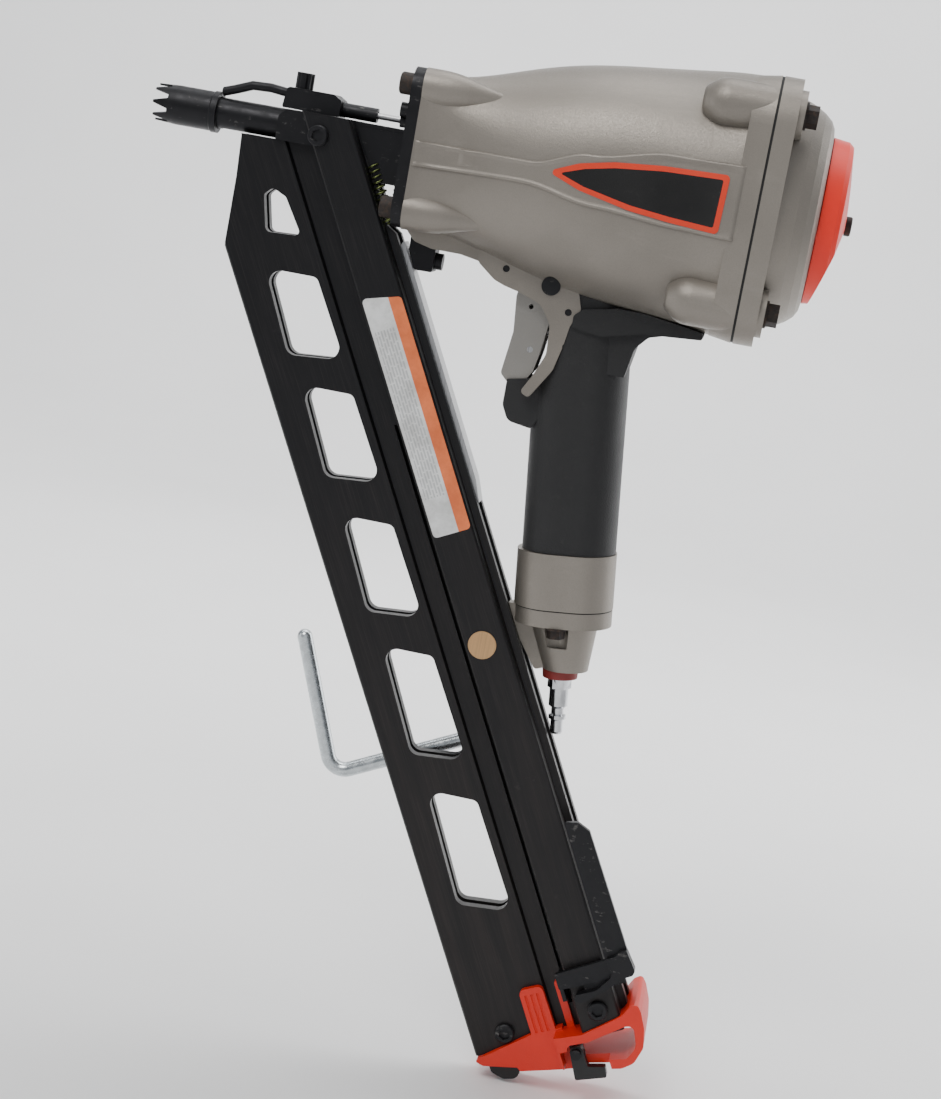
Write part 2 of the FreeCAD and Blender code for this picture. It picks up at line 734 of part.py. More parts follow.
def socket_screw(radius, head_radius, head_height, length, start, direction):
    """A socket head screw: the head's back face is on start and the shank runs the other way."""
    direction = Vector(direction).normalize()
    head = rod(head_radius, start, start + direction * head_height)
    rim = [edge for edge in head.Edges if edge.Length > 1 and
           abs((edge.CenterOfMass - start).dot(direction) - head_height) < 1e-3]
    head = head.makeChamfer(head_radius * 0.12, rim)
    shank = rod(radius, start - direction * length, start)
    recess_start = start + direction * (head_height * 0.45)
    recess = hexagon_prism(head_radius * 1.05, head_height, recess_start, direction)
    return head.fuse(shank).cut(recess)


def make_front_bolts():
    bolts = []
    for side_y in (-1, 1):
        for side_z in (-1, 1):
            start = Vector(SIZES["plate_front"], SIZES["front_bolt_y"] * side_y,
                           SIZES["front_bolt_z"] * side_z)
            bolts.append(socket_screw(SIZES["front_bolt_radius"], 5.4, 6.6, 22.0, start, Vector(-1, 0, 0)))
    return keep_shape("nose_bolts", Part.makeCompound(bolts))


def make_rear_bolts():
    bolts = []
    seat = SIZES["housing_rear"] + SIZES["gasket_thickness"] + SIZES["lug_height"]
    for side_y in (-1, 1):
        for side_z in (-1, 1):
            start = Vector(seat, SIZES["rear_bolt_y"] * side_y, SIZES["rear_bolt_z"] * side_z)
            washer = rod(6.6, start, start + Vector(1.2, 0, 0))
            head = hexagon_prism(9.6, 5.2, start + Vector(1.2, 0, 0), Vector(1, 0, 0))
            shank = rod(SIZES["rear_bolt_radius"], start - Vector(28.0, 0, 0), start)
            dimple = rod(2.4, start + Vector(5.6, 0, 0), start + Vector(8, 0, 0))
            bolts.append(washer.fuse([head, shank]).cut(dimple))
    return keep_shape("cap_bolts", Part.makeCompound(bolts))


def make_deflector():
    """Exhaust deflector: a shallow cup whose face slopes away from its outlet."""
    body = new_body("exhaust_deflector")
    sketch = new_sketch(body, "XZ")
    edge = Dim("deflector_radius")
    add_polygon(sketch, [(323.2, 2.9), (323.2, edge), (331.0, Dim("deflector_radius", 1.0, -1.0)),
                         (333.4, 38.0), (335.6, 20.0), (336.8, 6.0), (336.8, 2.9)])
    make_turned(body, sketch)
    hollow = new_sketch(body, "XZ")
    add_polygon(hollow, [(323.0, 9.0), (323.0, Dim("deflector_radius", 1.0, -2.6)), (330.2, 37.0),
                         (332.8, 20.0),
                         (333.6, 9.0)])
    make_turned(body, hollow, cut=True)
    slope = new_sketch(body, "XZ")
    add_polygon(slope, [(337.4, 0.0), (334.2, -12.0), (325.6, -42.6), (345.0, -43.0), (345.0, 0.0)])
    make_pocket(body, slope, 100.0, both_ways=True)
    outlet = new_sketch(body, "XZ", -50.0)
    add_outline(outlet, [(325.2, -15.0), (329.6, -15.0), (329.6, 21.0), (325.2, 21.0)], 1.5)
    make_pocket(body, outlet, 22.0, backwards=True)
    return body


def make_badge(side):
    """Raised three-cornered plate and its border on the barrel's side; left when side is -1."""
    name = "left" if side < 0 else "right"
    outline = [(192.6, 1.0), (207.5, 7.2), (224.0, 10.6), (247.0, 12.9), (278.4, 14.0), (277.5, -13.9),
               (254.0, -12.5),
               (234.0, -10.4), (209.0, -5.2)]
    middle = [(198.6, 1.1), (210.2, 5.0), (224.4, 7.9), (247.2, 10.4), (275.6, 11.4), (274.9, -11.2),
              (254.2, -9.9),
              (234.4, -7.9), (211.0, -3.2)]
    low, high = (-70.0, -30.0) if side < 0 else (30.0, 70.0)
    layer = barrel_loft(1.0).cut(barrel_loft(0.0))
    outer = prism(outline, low, high, [1.6, 8, 20, 30, 2.2, 2.2, 30, 20, 8])
    inner = prism(middle, low, high, [0.6, 8, 20, 30, 1.0, 1.0, 30, 20, 8])
    border = layer.common(outer).cut(inner)
    panel = layer.common(inner)
    keep_shape("badge_border_" + name, max(border.Solids, key=lambda item: item.Volume))
    keep_shape("badge_panel_" + name, max(panel.Solids, key=lambda item: item.Volume))


# ---------------------------------------------------------------- nose and work contact


def make_nose_plate():
    body = new_body("nose_plate")
    sketch = new_sketch(body, "YZ", Dim("plate_front"))
    add_rounded_rectangle(sketch, SIZES["plate_width"] / 2, SIZES["plate_height"] / 2, 11.0)
    make_pad(body, sketch, Dim("housing_front", 1.0, -SIZES["plate_front"]))
    holes = new_sketch(body, "YZ", Dim("housing_front", 1.0, 1.0))
    add_circle(holes, (0.0, 0.0), Dim("drive_bore_radius", 1.0, 1.0))
    for centre in bolt_grid("front_bolt_y", "front_bolt_z"):
        add_circle(holes, centre, Dim("front_bolt_radius", 1.0, 0.05))
    make_pocket(body, holes, 7.0)
    knuckles = new_sketch(body, "YZ", Dim("plate_front"))
    for side in (-1, 1):
        add_circle(knuckles, (30.0 * side, 17.5), 3.6)
        add_circle(knuckles, (26.0 * side, 12.0), 3.2)
    make_pad(body, knuckles, 5.0, backwards=True)
    return body


def make_nose_casting():
    """Guide tube and nose block, bored for the driver and slotted for the nails."""
    body = new_body("nose_casting")
    tube = new_sketch(body, "YZ")
    add_circle(tube, (0.0, 0.0), Dim("tube_radius"))
    make_pad(body, tube, Dim("tube_length"))
    block = new_sketch(body, "XZ")
    rear = Dim("plate_front", 1.0, -0.1).number
    add_outline(block, [(50.0, -8.0), (rear, -8.0), (rear, 7.9), (54.0, 7.9), (50.0, 4.0)], [1, 0, 0, 2, 2])
    make_pad(body, block, 20.0, both_ways=True)
    webs = new_sketch(body, "XZ")
    add_outline(webs, [(90.9, 5.6), (rear, 5.6), (rear, -20.0), (104.2, -20.0)], [1, 0, 0, 2])
    make_pad(body, webs, 23.6, both_ways=True)
    between = new_sketch(body, "XZ")
    add_rectangle(between, 80.0, -30.0, 110.6, -8.0)
    make_pocket(body, between, 20.4, both_ways=True)
    bore = new_sketch(body, "YZ", -1.0)
    add_circle(bore, (0.0, 0.0), Dim("drive_bore_radius"))
    make_pocket(body, bore, 122.0, backwards=True)
    entry = new_sketch(body, "XZ")
    add_rectangle(entry, 20.0, -12.0, 112.0, 0.0)
    make_pocket(body, entry, Dim("nail_slot"), both_ways=True)
    return body


def make_guide_pin():
    """Pin on the nose plate that the push rod slides over."""
    z = SIZES["rod_z"]
    pin = rod(1.6, Vector(96.2, 0, z), Vector(SIZES["plate_front"], 0, z))
    foot = hexagon_prism(6.0, 1.6, Vector(SIZES["plate_front"] - 1.6, 0, z), Vector(1, 0, 0))
    return keep_shape("guide_pin", pin.fuse(foot))


def make_crown():
    """Toothed work contact tip that slides over the guide tube."""
    body = new_body("contact_tip")
    front = Dim("crown_front")
    rear = Dim("crown_rear")
    sketch = new_sketch(body, "XZ")
    bore = Dim("crown_bore")
    outer = Dim("crown_radius")
    add_polygon(sketch, [(front, bore), (front, Dim("crown_radius", 1.0, -0.7)), (-4.0, outer), (14.0, outer),
                         (14.6, Dim("crown_radius", 1.0, 0.5)), (rear, Dim("crown_radius", 1.0, 0.5)),
                         (rear, bore)])
    make_turned(body, sketch)
    tip = front.number
    for angle in range(4):
        notch = new_sketch(body, "XZ")
        add_polygon(notch, [(tip - 1.0, -3.2), (tip - 1.0, 3.2), (tip + 7.4, 1.1), (tip + 7.4, -1.1)])
        turn = Rotation(Vector(1, 0, 0), 22.5 + 45.0 * angle)
        upright = Rotation(Vector(1, 0, 0), 90.0)
        notch.MapMode = "Deactivated"
        notch.Placement = Placement(Vector(0, 0, 0), turn.multiply(upright))
        make_pocket(body, notch, 30.0, both_ways=True)
    return body


def make_contact_arm():
    """Bent round arm from the tip back into the adjuster block."""
    knots = [Vector(17.7, 0, 10.6), Vector(24.0, 0, 12.8), Vector(32.5, 0, 16.2), Vector(42.0, 0, 16.6),
             Vector(54.0, 0, 15.4), Vector(72.0, 0, 15.4)]
    parts = []
    radius = 2.3
    for start, end in zip(knots, knots[1:]):
        parts.append(rod(radius, start, end))
    for knot in knots[1:-1]:
        parts.append(Part.makeSphere(radius, knot))
    solid = parts[0].fuse(parts[1:]).removeSplitter()
    face = Part.makeBox(20, 40, 40, Vector(-2.35, -20, -10))
    return keep_shape("contact_arm", solid.cut(face))


def make_adjuster():
    """Block that clamps the arm, its screw and the rod that runs back over the guide pin."""
    z = SIZES["rod_z"]
    block = prism([(50.5, 8.3), (80.0, 8.3), (80.0, 16.4), (76.0, 18.8), (52.0, 18.8)], -8.5, 8.5,
                  [1, 0, 1, 2, 2])
    arm_bore = rod(2.35, Vector(50.0, 0, 15.4), Vector(72.1, 0, 15.4))
    arm_bore = arm_bore.fuse(rod(2.6, Vector(48.0, 0, 16.0), Vector(54.0, 0, 15.4)))
    keep_shape("adjuster_block", block.cut(arm_bore))
    screw = new_body("clamp_screw")
    knob = new_sketch(screw, "XY", 18.9)
    lobes = []
    for index in range(24):
        reach = 4.5 if index % 2 else 4.1
        angle = math.radians(15 * index)
        lobes.append((58.6 + reach * math.cos(angle), reach * math.sin(angle)))
    add_outline(knob, lobes, 0.0)
    make_pad(screw, knob, 8.0)
    recess = new_sketch(screw, "XY", 27.5)
    add_circle(recess, (58.6, 0.0), 2.0)
    make_pocket(screw, recess, 3.4)
    bar = rod(3.6, Vector(80.1, 0, z), Vector(98.0, 0, z))
    blind = rod(2.0, Vector(81.5, 0, z), Vector(99.0, 0, z))
    keep_shape("push_rod", bar.cut(blind))
    return screw


def make_probe_guide(housing):
    """Small stop block under the barrel's chin with its turned insert."""
    block = prism([(126.0, -42.0), (139.4, -42.0), (139.4, -59.2), (130.2, -59.4), (126.0, -50.0)], -7.0, 7.0,
                  [0, 0, 1, 2, 2])
    insert = rod(4.2, Vector(139.0, 0, -53.6), Vector(143.2, 0, -53.6))
    solid = block.fuse(insert).cut(housing.Shape)
    return keep_shape("chin_block", max(solid.Solids, key=lambda item: item.Volume))


# ---------------------------------------------------------------- trigger


def make_trigger():
    """Hollow finger trigger with the hub that turns on the pivot pin."""
    body = new_body("trigger")
    outline = [(187.5, -53.5), (197.0, -50.6), (201.3, -49.3), (206.0, -54.0), (204.8, -60.0), (203.0, -72.0),
               (201.0, -88.0), (199.2, -98.0), (193.8, -106.8), (187.5, -105.9), (183.2, -101.8),
               (185.9, -80.2),
               (184.2, -61.7)]
    sketch = new_sketch(body, "XZ")
    add_outline(sketch, outline, [4, 3, 2.6, 2.6, 2, 10, 10, 3, 3, 2, 3, 12, 4])
    make_pad(body, sketch, Dim("trigger_width"), both_ways=True)
    inside = new_sketch(body, "XZ")
    add_polygon(inside, [(190.6, -61.5), (214.0, -61.5), (214.0, -99.5), (190.0, -99.5)])
    make_pocket(body, inside, 17.0, both_ways=True)
    holes = new_sketch(body, "XZ")
    add_circle(holes, (Dim("pivot_x"), Dim("pivot_z")), Dim("pivot_radius", 1.0, 0.05))
    add_circle(holes, (195.7, -87.6), 1.55)
    make_pocket(body, holes, 60.0, both_ways=True)
    marks = new_sketch(body, "XZ")
    add_circle(marks, (192.7, -60.9), 1.2)
    add_circle(marks, (192.5, -66.4), 1.2)
    make_pocket(body, marks, 60.0, both_ways=True)
    return body


def make_trigger_pin():
    """Pivot pin of the trigger with a flat head in each cheek."""
    middle = Vector(SIZES["pivot_x"], 0, SIZES["pivot_z"])
    half = SIZES["cheek_width"] / 2
    pin = rod(SIZES["pivot_radius"] - 0.01, middle - Vector(0, half + 0.6, 0),
              middle + Vector(0, half + 0.6, 0))
    heads = [
        rod(4.7, middle + Vector(0, side * (half + 0.02), 0), middle + Vector(0, side * (half + 1.3), 0))
        for side in (-1, 1)
    ]
    return keep_shape("trigger_pin", pin.fuse(heads))


def make_cheek_pins():
    """Spring pins through the cheeks."""
    pins = []
    half = SIZES["cheek_width"] / 2
    for x, z in CHEEK_PINS[:2]:
        for side in (-1, 1):
            inner = Vector(x, side * 14.0, z)
            outer = Vector(x, side * (half - 0.6), z)
            pins.append(rod(1.72, inner, outer))
    return keep_shape("cheek_pins", Part.makeCompound(pins))


def make_trigger_inner():
    """Lever inside the trigger, its pin, and the trigger valve."""
    lever = prism([(194.0, -84.6), (196.2, -63.4), (199.6, -63.4), (199.6, -89.0), (196.8, -91.0),
                   (193.6, -89.4)],
                  -4.0, 4.0, [2, 1.2, 1.2, 2, 1, 1.5])
    hole = rod(1.55, Vector(195.7, -10, -87.6), Vector(195.7, 10, -87.6))
    keep_shape("trigger_lever", lever.cut(hole))
    keep_shape("lever_pin", rod(1.5, Vector(195.7, -11.6, -87.6), Vector(195.7, 11.6, -87.6)))
    z = Dim("valve_z")
    body = new_body("trigger_valve")
    disc = new_sketch(body, "YZ", 205.8)
    add_circle(disc, (0.0, z), 6.95)
    make_pad(body, disc, 13.0)
    nose = new_sketch(body, "YZ", 218.7)
    add_circle(nose, (0.0, z), 4.6)
    make_pad(body, nose, 3.0)
    bore = new_sketch(body, "YZ", 205.0)
    add_circle(bore, (0.0, z), 2.08)
    make_pocket(body, bore, 20.0, backwards=True)
    level = SIZES["valve_z"]
    stem = rod(2.0, Vector(200.6, 0, level), Vector(224.0, 0, level))
    stop = rod(3.6, Vector(222.2, 0, level), Vector(225.0, 0, level))
    keep_shape("valve_stem", stem.fuse(stop))
    return body


# ---------------------------------------------------------------- magazine

WINDOWS = [
    # upper end and lower end of each window's front edge, down the magazine
    (16.6, 62.0),
    (78.6, 127.4),
    (148.4, 200.4),
    (219.6, 279.0),
    (299.4, 363.0),
]
FRONT_LINE = [(0.0, 0.0), (16.6, 31.2), (25.6, 50.2)]
LEVEL = math.tan(math.radians(SIZES["magazine_angle"]))


SCREW_PLACES = [(65.4, -37.0), (19.0, 437.0), (72.6, 432.6)]
SCREW_FACES = [20.0, 8.0, 20.0]


def make_side(name, side):
    """One half of the magazine: windowed plate, groove, raised rib and stepped rear edge."""
    body = new_body(name, MAGAZINE)
    inner = SIZES["magazine_slot"] / 2
    plate = SIZES["plate_face"]
    rib = SIZES["rib_face"]
    rear = SIZES["magazine_rear"]
    section = [(0.0, inner), (0.0, plate - 1.0), (1.0, plate), (46.0, plate), (47.0, 5.4), (59.5, 5.4),
               (SIZES["rib_left"], 7.0), (SIZES["rib_left"], rib - 1.0), (SIZES["rib_left"] + 1.0, rib),
               (SIZES["rib_right"] - 1.0, rib), (SIZES["rib_right"], rib - 1.0), (SIZES["rib_right"], 10.0),
               (rear, 9.4), (rear, 4.6), (76.0, 4.6), (75.0, inner)]
    profile = new_sketch(body, "XY", Dim("magazine_length", -1.0))
    add_polygon(profile, [(x, y * side) for x, y in section])
    make_pad(body, profile, Dim("magazine_length", 1.0, 56.0))

    hollow = new_sketch(body, "XY", Dim("magazine_length", -1.0, -1.0))
    cavity = [(64.0, 6.6), (64.0, 17.2), (80.0, 17.2), (80.0, 6.6)]
    add_polygon(hollow, [(x, y * side) for x, y in cavity])
    make_pocket(body, hollow, Dim("magazine_length", 1.0, 20.0), backwards=True)

    nose_corner = new_sketch(body, "XZ")
    add_polygon(nose_corner, FRONT_LINE + [(25.6, 70.0), (-5.0, 70.0), (-5.0, 0.0)])
    make_pocket(body, nose_corner, 60.0, both_ways=True)

    top = new_sketch(body, "XZ")
    left_top, right_top = 50.4, 39.5
    add_polygon(top, [(24.0, 70.0), (24.0, left_top + 1.2), (61.0, left_top + 0.9), (83.2, right_top),
                      (90.0, right_top - 3.5), (95.0, 70.0)])
    make_pocket(body, top, 60.0, both_ways=True)

    beside_nose = new_sketch(body, "XZ")
    start = 50.9
    add_polygon(beside_nose, [(20.0, start + 5.6 * LEVEL), (95.0, start - 69.4 * LEVEL), (95.0, 75.0),
                              (20.0, 75.0)])
    make_pocket(body, beside_nose, 20.8, both_ways=True)

    windows = new_sketch(body, "XZ")
    for upper, lower in WINDOWS:
        outline = [(16.8, -upper), (41.2, -upper - 24.4 * LEVEL), (42.0, -lower - 24.0 * LEVEL * 0.92),
                   (14.6, -lower)]
        add_outline(windows, outline, [6.0, 4.0, 6.0, 6.0])
    add_outline(windows, [(27.6, 18.6), (33.0, 20.4), (38.0, 14.0), (39.6, -7.0), (22.6, 0.6)],
                [2.5, 3, 3, 2, 3])
    make_pocket(body, windows, 60.0, both_ways=True)

    under_plate = new_sketch(body, "XZ")
    add_polygon(under_plate, [(85.0, 25.0), (90.0, 25.7), (90.0, -22.0), (87.0, -20.2), (83.8, -14.5),
                              (84.4, 0.0)])
    make_pocket(body, under_plate, 60.0, both_ways=True)

    if side < 0:
        track = new_sketch(body, "XZ")
        add_rectangle(track, 56.6, -430.0, 59.4, -112.0)
        make_pocket(body, track, 15.0, backwards=True)

    holes = new_sketch(body, "XZ")
    for x, along in SCREW_PLACES:
        add_circle(holes, (x, -along), 2.05)
    if side < 0:
        add_circle(holes, (70.0, -231.2), 7.3)
    make_pocket(body, holes, 60.0, backwards=side < 0)
    return body


def make_magazine_screws():
    """Button screws of both magazine sides."""
    screws = []
    for side in (-1, 1):
        for (x, along), face in zip(SCREW_PLACES, SCREW_FACES):
            start = Vector(x, side * face, -along)
            length = 5.0 if face < 10 else 2.6
            screws.append(moved(socket_screw(2.0, 5.2, 2.8, length, start, Vector(0, side, 0)), MAGAZINE))
    return keep_shape("magazine_screws", Part.makeCompound(screws))


def make_rail():
    """Front spacer that keeps the two magazine sides apart."""
    body = new_body("magazine_rail", MAGAZINE)
    sketch = new_sketch(body, "XZ")
    bottom = Dim("magazine_length", -1.0)
    add_polygon(sketch, [(0.15, bottom), (0.15, -0.2), (16.8, 31.0), (25.8, 49.9), (29.0, 48.2), (20.4, 30.0),
                         (3.8, -1.2), (3.8, bottom)])
    make_pad(body, sketch, Dim("magazine_slot", 1.0, -0.04), both_ways=True)
    return body


def make_rear_strip():
    body = new_body("rear_strip", MAGAZINE)
    sketch = new_sketch(body, "XZ")
    left = SIZES["magazine_rear"] + 0.05
    add_outline(sketch, [(left, -26.0), (left + 2.4, -24.0), (left + 2.4, -150.0), (left + 0.6, -162.0),
                         (left, -162.0)],
                [0, 0.5, 3, 0.2, 0])
    make_pad(body, sketch, 13.0, both_ways=True)
    return body


def make_label():
    body = new_body("label", MAGAZINE)
    sketch = new_sketch(body, "XZ", SIZES["rib_face"] + 0.02)
    add_outline(sketch, [(62.2, -46.0), (82.0, -50.5), (82.0, -172.0), (62.2, -172.0)], 2.2)
    make_pad(body, sketch, 0.3)
    return body


def make_disc():
    body = new_body("rib_disc", MAGAZINE)
    sketch = new_sketch(body, "XZ", 17.3)
    add_circle(sketch, (70.0, -231.2), 7.25)
    make_pad(body, sketch, 3.2)
    return body


def make_follower():
    """Blade, finger tab and pusher that run up the magazine behind the nails."""
    blade = prism([(85.0, -330.0), (92.0, -332.0), (96.4, -338.0), (97.4, -409.0), (85.0, -412.0)],
                  -25.2, -22.4, [1, 3, 2, 1, 0], MAGAZINE)
    tab = prism([(57.0, -406.9), (88.9, -405.8), (88.2, -415.8), (66.2, -416.0), (57.0, -415.6)], -25.2,
                -22.4,
                [1, 0, 2, 1, 1], MAGAZINE)
    lever = prism([(86.0, -404.6), (90.4, -404.6), (94.4, -402.4), (97.4, -403.0), (98.6, -414.4),
                   (96.6, -416.4),
                   (91.6, -416.6), (80.6, -421.0), (66.2, -424.2), (63.6, -421.8), (65.4, -419.4),
                   (76.0, -419.6),
                   (86.4, -414.4)], -28.2, -22.4, [0, 2, 2, 1, 2, 2, 6, 8, 1.2, 1.2, 1.2, 8, 4], MAGAZINE)
    rest = prism([(70.0, -412.0), (92.0, -412.0), (92.0, -420.4), (70.0, -420.4)], -24.0, -22.4, 0.0,
                 MAGAZINE)
    neck = prism([(57.0, -410.0), (59.0, -410.0), (59.0, -423.0), (57.0, -423.0)], -23.0, 0.0, 0.0, MAGAZINE)
    keep_shape("follower", blade.fuse([tab, lever, rest, neck]).removeSplitter())
    pusher = prism([(57.2, -424.0), (57.2, -352.0), (66.0, -345.0), (84.0, -340.0), (84.0, -424.0)],
                   -2.1, 2.1, [1, 2, 2, 1, 1], MAGAZINE)
    neck_hole = prism([(56.9, -409.9), (59.1, -409.9), (59.1, -423.1), (56.9, -423.1)], -3.0, 0.01, 0.0,
                      MAGAZINE)
    keep_shape("nail_pusher", pusher.cut(neck_hole))


def make_spring_drum():
    """Drum of the follower's flat spring, inside the rib."""
    body = new_body("spring_drum", MAGAZINE)
    sketch = new_sketch(body, "XZ", 8.0)
    add_circle(sketch, (72.0, -24.0), 6.6)
    make_pad(body, sketch, 8.0)
    hole = new_sketch(body, "XZ", 7.0)
    add_circle(hole, (72.0, -24.0), 2.05)
    make_pocket(body, hole, 12.0, backwards=True)
    axle = new_body("drum_axle", MAGAZINE)
    pin = new_sketch(axle, "XZ", 6.62)
    add_circle(pin, (72.0, -24.0), 2.0)
    make_pad(axle, pin, 10.5)
    return body


FRONT_CAP = [(-0.8, -447.0), (33.4, -440.2), (50.0, -440.2), (50.0, -463.4), (42.4, -462.4), (21.5, -458.4),
             (20.6, -456.0), (3.0, -450.8)]
FRONT_CAP_RADII = [1, 0, 0, 0, 3, 0.6, 0.6, 2]


def make_magazine_end(solids):
    """End cap with its gripping tabs and the open loop that holds the latch."""
    front = prism(FRONT_CAP, -11.5, 11.5, FRONT_CAP_RADII, MAGAZINE)
    tabs = []
    for low, high in ((-11.5, -8.02), (8.02, 11.5)):
        tab = prism([(33.2, -415.4), (46.0, -415.8), (46.6, -446.0), (33.2, -446.0)], low, high,
                    [3, 3, 0, 0], MAGAZINE)
        for groove in (36.2, 39.4, 42.6):
            face = low if low < 0 else high
            cutter = rod(0.7, Vector(groove, face, -419.0), Vector(groove, face, -444.0))
            tab = tab.cut(moved(cutter, MAGAZINE))
        tabs.append(tab)
    loop = prism([(46.0, -441.6), (61.0, -443.0), (84.0, -438.2), (89.0, -434.6), (93.8, -434.0),
                  (94.4, -439.0),
                  (93.4, -448.0), (90.2, -457.6), (83.0, -464.4), (76.0, -465.6), (46.0, -459.0)], -22.0,
                 22.0,
                 [0, 3, 6, 2, 2, 3, 8, 6, 6, 6, 0], MAGAZINE)
    window = prism([(51.0, -446.8), (63.0, -447.6), (84.0, -444.0), (88.6, -444.8), (86.6, -456.4),
                    (80.0, -461.2),
                    (62.0, -457.6), (51.0, -455.4)], -30.0, 30.0, [3, 1, 3, 3, 6, 4, 3, 3], MAGAZINE)
    strip = prism([(52.4, -415.8), (56.3, -416.2), (56.3, -446.0), (52.4, -446.0)], -9.0, -5.42,
                  [1, 1, 0, 0], MAGAZINE)
    notch = prism([(47.0, -450.0), (71.0, -450.0), (71.0, -476.0), (47.0, -476.0)], -23.0, -13.0, 0.0,
                  MAGAZINE)
    solid = front.fuse(tabs + [loop, strip]).removeSplitter().cut(window).cut(notch)
    for other in solids:
        solid = solid.cut(other.Shape)
    end_cap = keep_shape("magazine_end_cap", max(solid.Solids, key=lambda item: item.Volume))
    foot = prism([(5.4, -450.0), (5.4, -456.4), (10.6, -461.6), (17.4, -463.0), (20.4, -460.0),
                  (20.4, -450.0)],
                 -8.0, 8.0, [0, 4, 4, 4, 1, 0], MAGAZINE)
    filler = prism(FRONT_CAP, -11.5, 11.5, FRONT_CAP_RADII, MAGAZINE)
    keep_shape("end_foot", max(foot.cut(filler).Solids, key=lambda item: item.Volume))
    latch = prism([(51.8, -449.6), (58.8, -449.6), (58.4, -461.6), (67.4, -463.8), (66.6, -469.6),
                   (50.0, -467.2)],
                  -19.0, -14.0, [3, 3, 1.5, 1, 1, 1], MAGAZINE)
    hole = moved(rod(1.55, Vector(54.6, -30, -453.2), Vector(54.6, 0, -453.2)), MAGAZINE)
    keep_shape("end_latch", latch.cut(hole))
    bridge = prism([(50.0, -449.6), (58.0, -449.6), (58.0, -456.8), (50.0, -456.8)], -12.8, -9.6, 0.0,
                   MAGAZINE)
    post = moved(rod(1.5, Vector(54.6, -20.4, -453.2), Vector(54.6, -12.0, -453.2)), MAGAZINE)
    head = moved(rod(2.8, Vector(54.6, -21.4, -453.2), Vector(54.6, -19.4, -453.2)), MAGAZINE)
    carrier = bridge.fuse([post, head]).cut(end_cap.Shape)
    keep_shape("latch_post", max(carrier.Solids, key=lambda item: item.Volume))


def make_hook():
    """Folding rafter hook of bent round bar and the block it turns in."""
    radius = 4.0
    side = 15.6
    bend = 9.0
    level = -283.0
    lean = Vector(8.4, 0, 74.0).normalize()
    corner = Vector(-35.6, side, level)
    stem_end = Vector(58.2, side, level)
    arm_end = corner + lean * 76.0
    half = Vector(1, 0, 0).getAngle(lean) / 2
    reach = bend / math.tan(half)
    stem_start = corner + Vector(reach, 0, 0)
    arm_start = corner + lean * reach
    bisector = (Vector(1, 0, 0) + lean).normalize()
    centre = corner + bisector * (bend / math.sin(half))
    path = Part.Wire([
        Part.LineSegment(stem_end, stem_start).toShape(),
        Part.Arc(stem_start, centre - bisector * bend, arm_start).toShape(),
        Part.LineSegment(arm_start, arm_end).toShape(),
    ])
    profile = Part.Wire([Part.makeCircle(radius, stem_end, Vector(-1, 0, 0))])
    bar = path.makePipeShell([profile], True, True)
    bar = bar.fuse(Part.makeSphere(radius, arm_end)).removeSplitter()
    keep_shape("rafter_hook", moved(bar, MAGAZINE))
    block = prism([(47.4, level + 10.0), (59.4, level + 10.0), (59.4, level - 10.0), (47.4, level - 10.0)],
                  5.45, 22.6, 2.0, MAGAZINE)
    bore = moved(rod(radius + 0.05, Vector(40.0, side, level), Vector(58.4, side, level)), MAGAZINE)
    keep_shape("hook_block", block.cut(bore))


# ---------------------------------------------------------------- build and export


def check_pieces():
    """Every object must be built without error and every piece must hold valid solids."""
    for item in document.Objects:
        if "Invalid" in item.State or "Error" in item.State:
            raise RuntimeError("%s is %s" % (item.Label, item.State))
    for piece in PIECES:
        shape = piece.Shape
        if shape.isNull() or not shape.isValid() or not shape.Solids:
            raise RuntimeError(piece.Label + " has no valid solid")


housing = make_housing()
make_nose_plate()
make_nose_casting()
make_guide_pin()
make_front_bolts()
make_drive_unit()
make_cap_gasket()
make_cap()
make_rear_bolts()
make_deflector()
keep_shape("deflector_screw", socket_screw(2.5, 4.8, 3.0, 14.0, Vector(336.9, 0, 0), Vector(1, 0, 0)))
make_badge(-1)
make_badge(1)
make_grip_sleeve(housing)
make_end_cap()
make_end_gasket()
make_end_bolts()
make_air_fittings()
make_crown()
make_contact_arm()
make_adjuster()
make_probe_guide(housing)
make_trigger()
make_trigger_pin()
make_cheek_pins()
make_trigger_inner()
left_side = make_side("magazine_left", -1)
right_side = make_side("magazine_right", 1)
rail = make_rail()
make_magazine_screws()
make_rear_strip()
make_label()
make_disc()
make_follower()
make_spring_drum()
make_magazine_end([left_side, right_side, rail])
make_hook()

document.recompute()
check_pieces()
for piece in PIECES:
    piece.Shape.exportStep("parts/%s.step" % piece.Label)
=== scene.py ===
import math

import bmesh
import bpy
from mathutils import Matrix, Vector
from mathutils.bvhtree import BVHTree


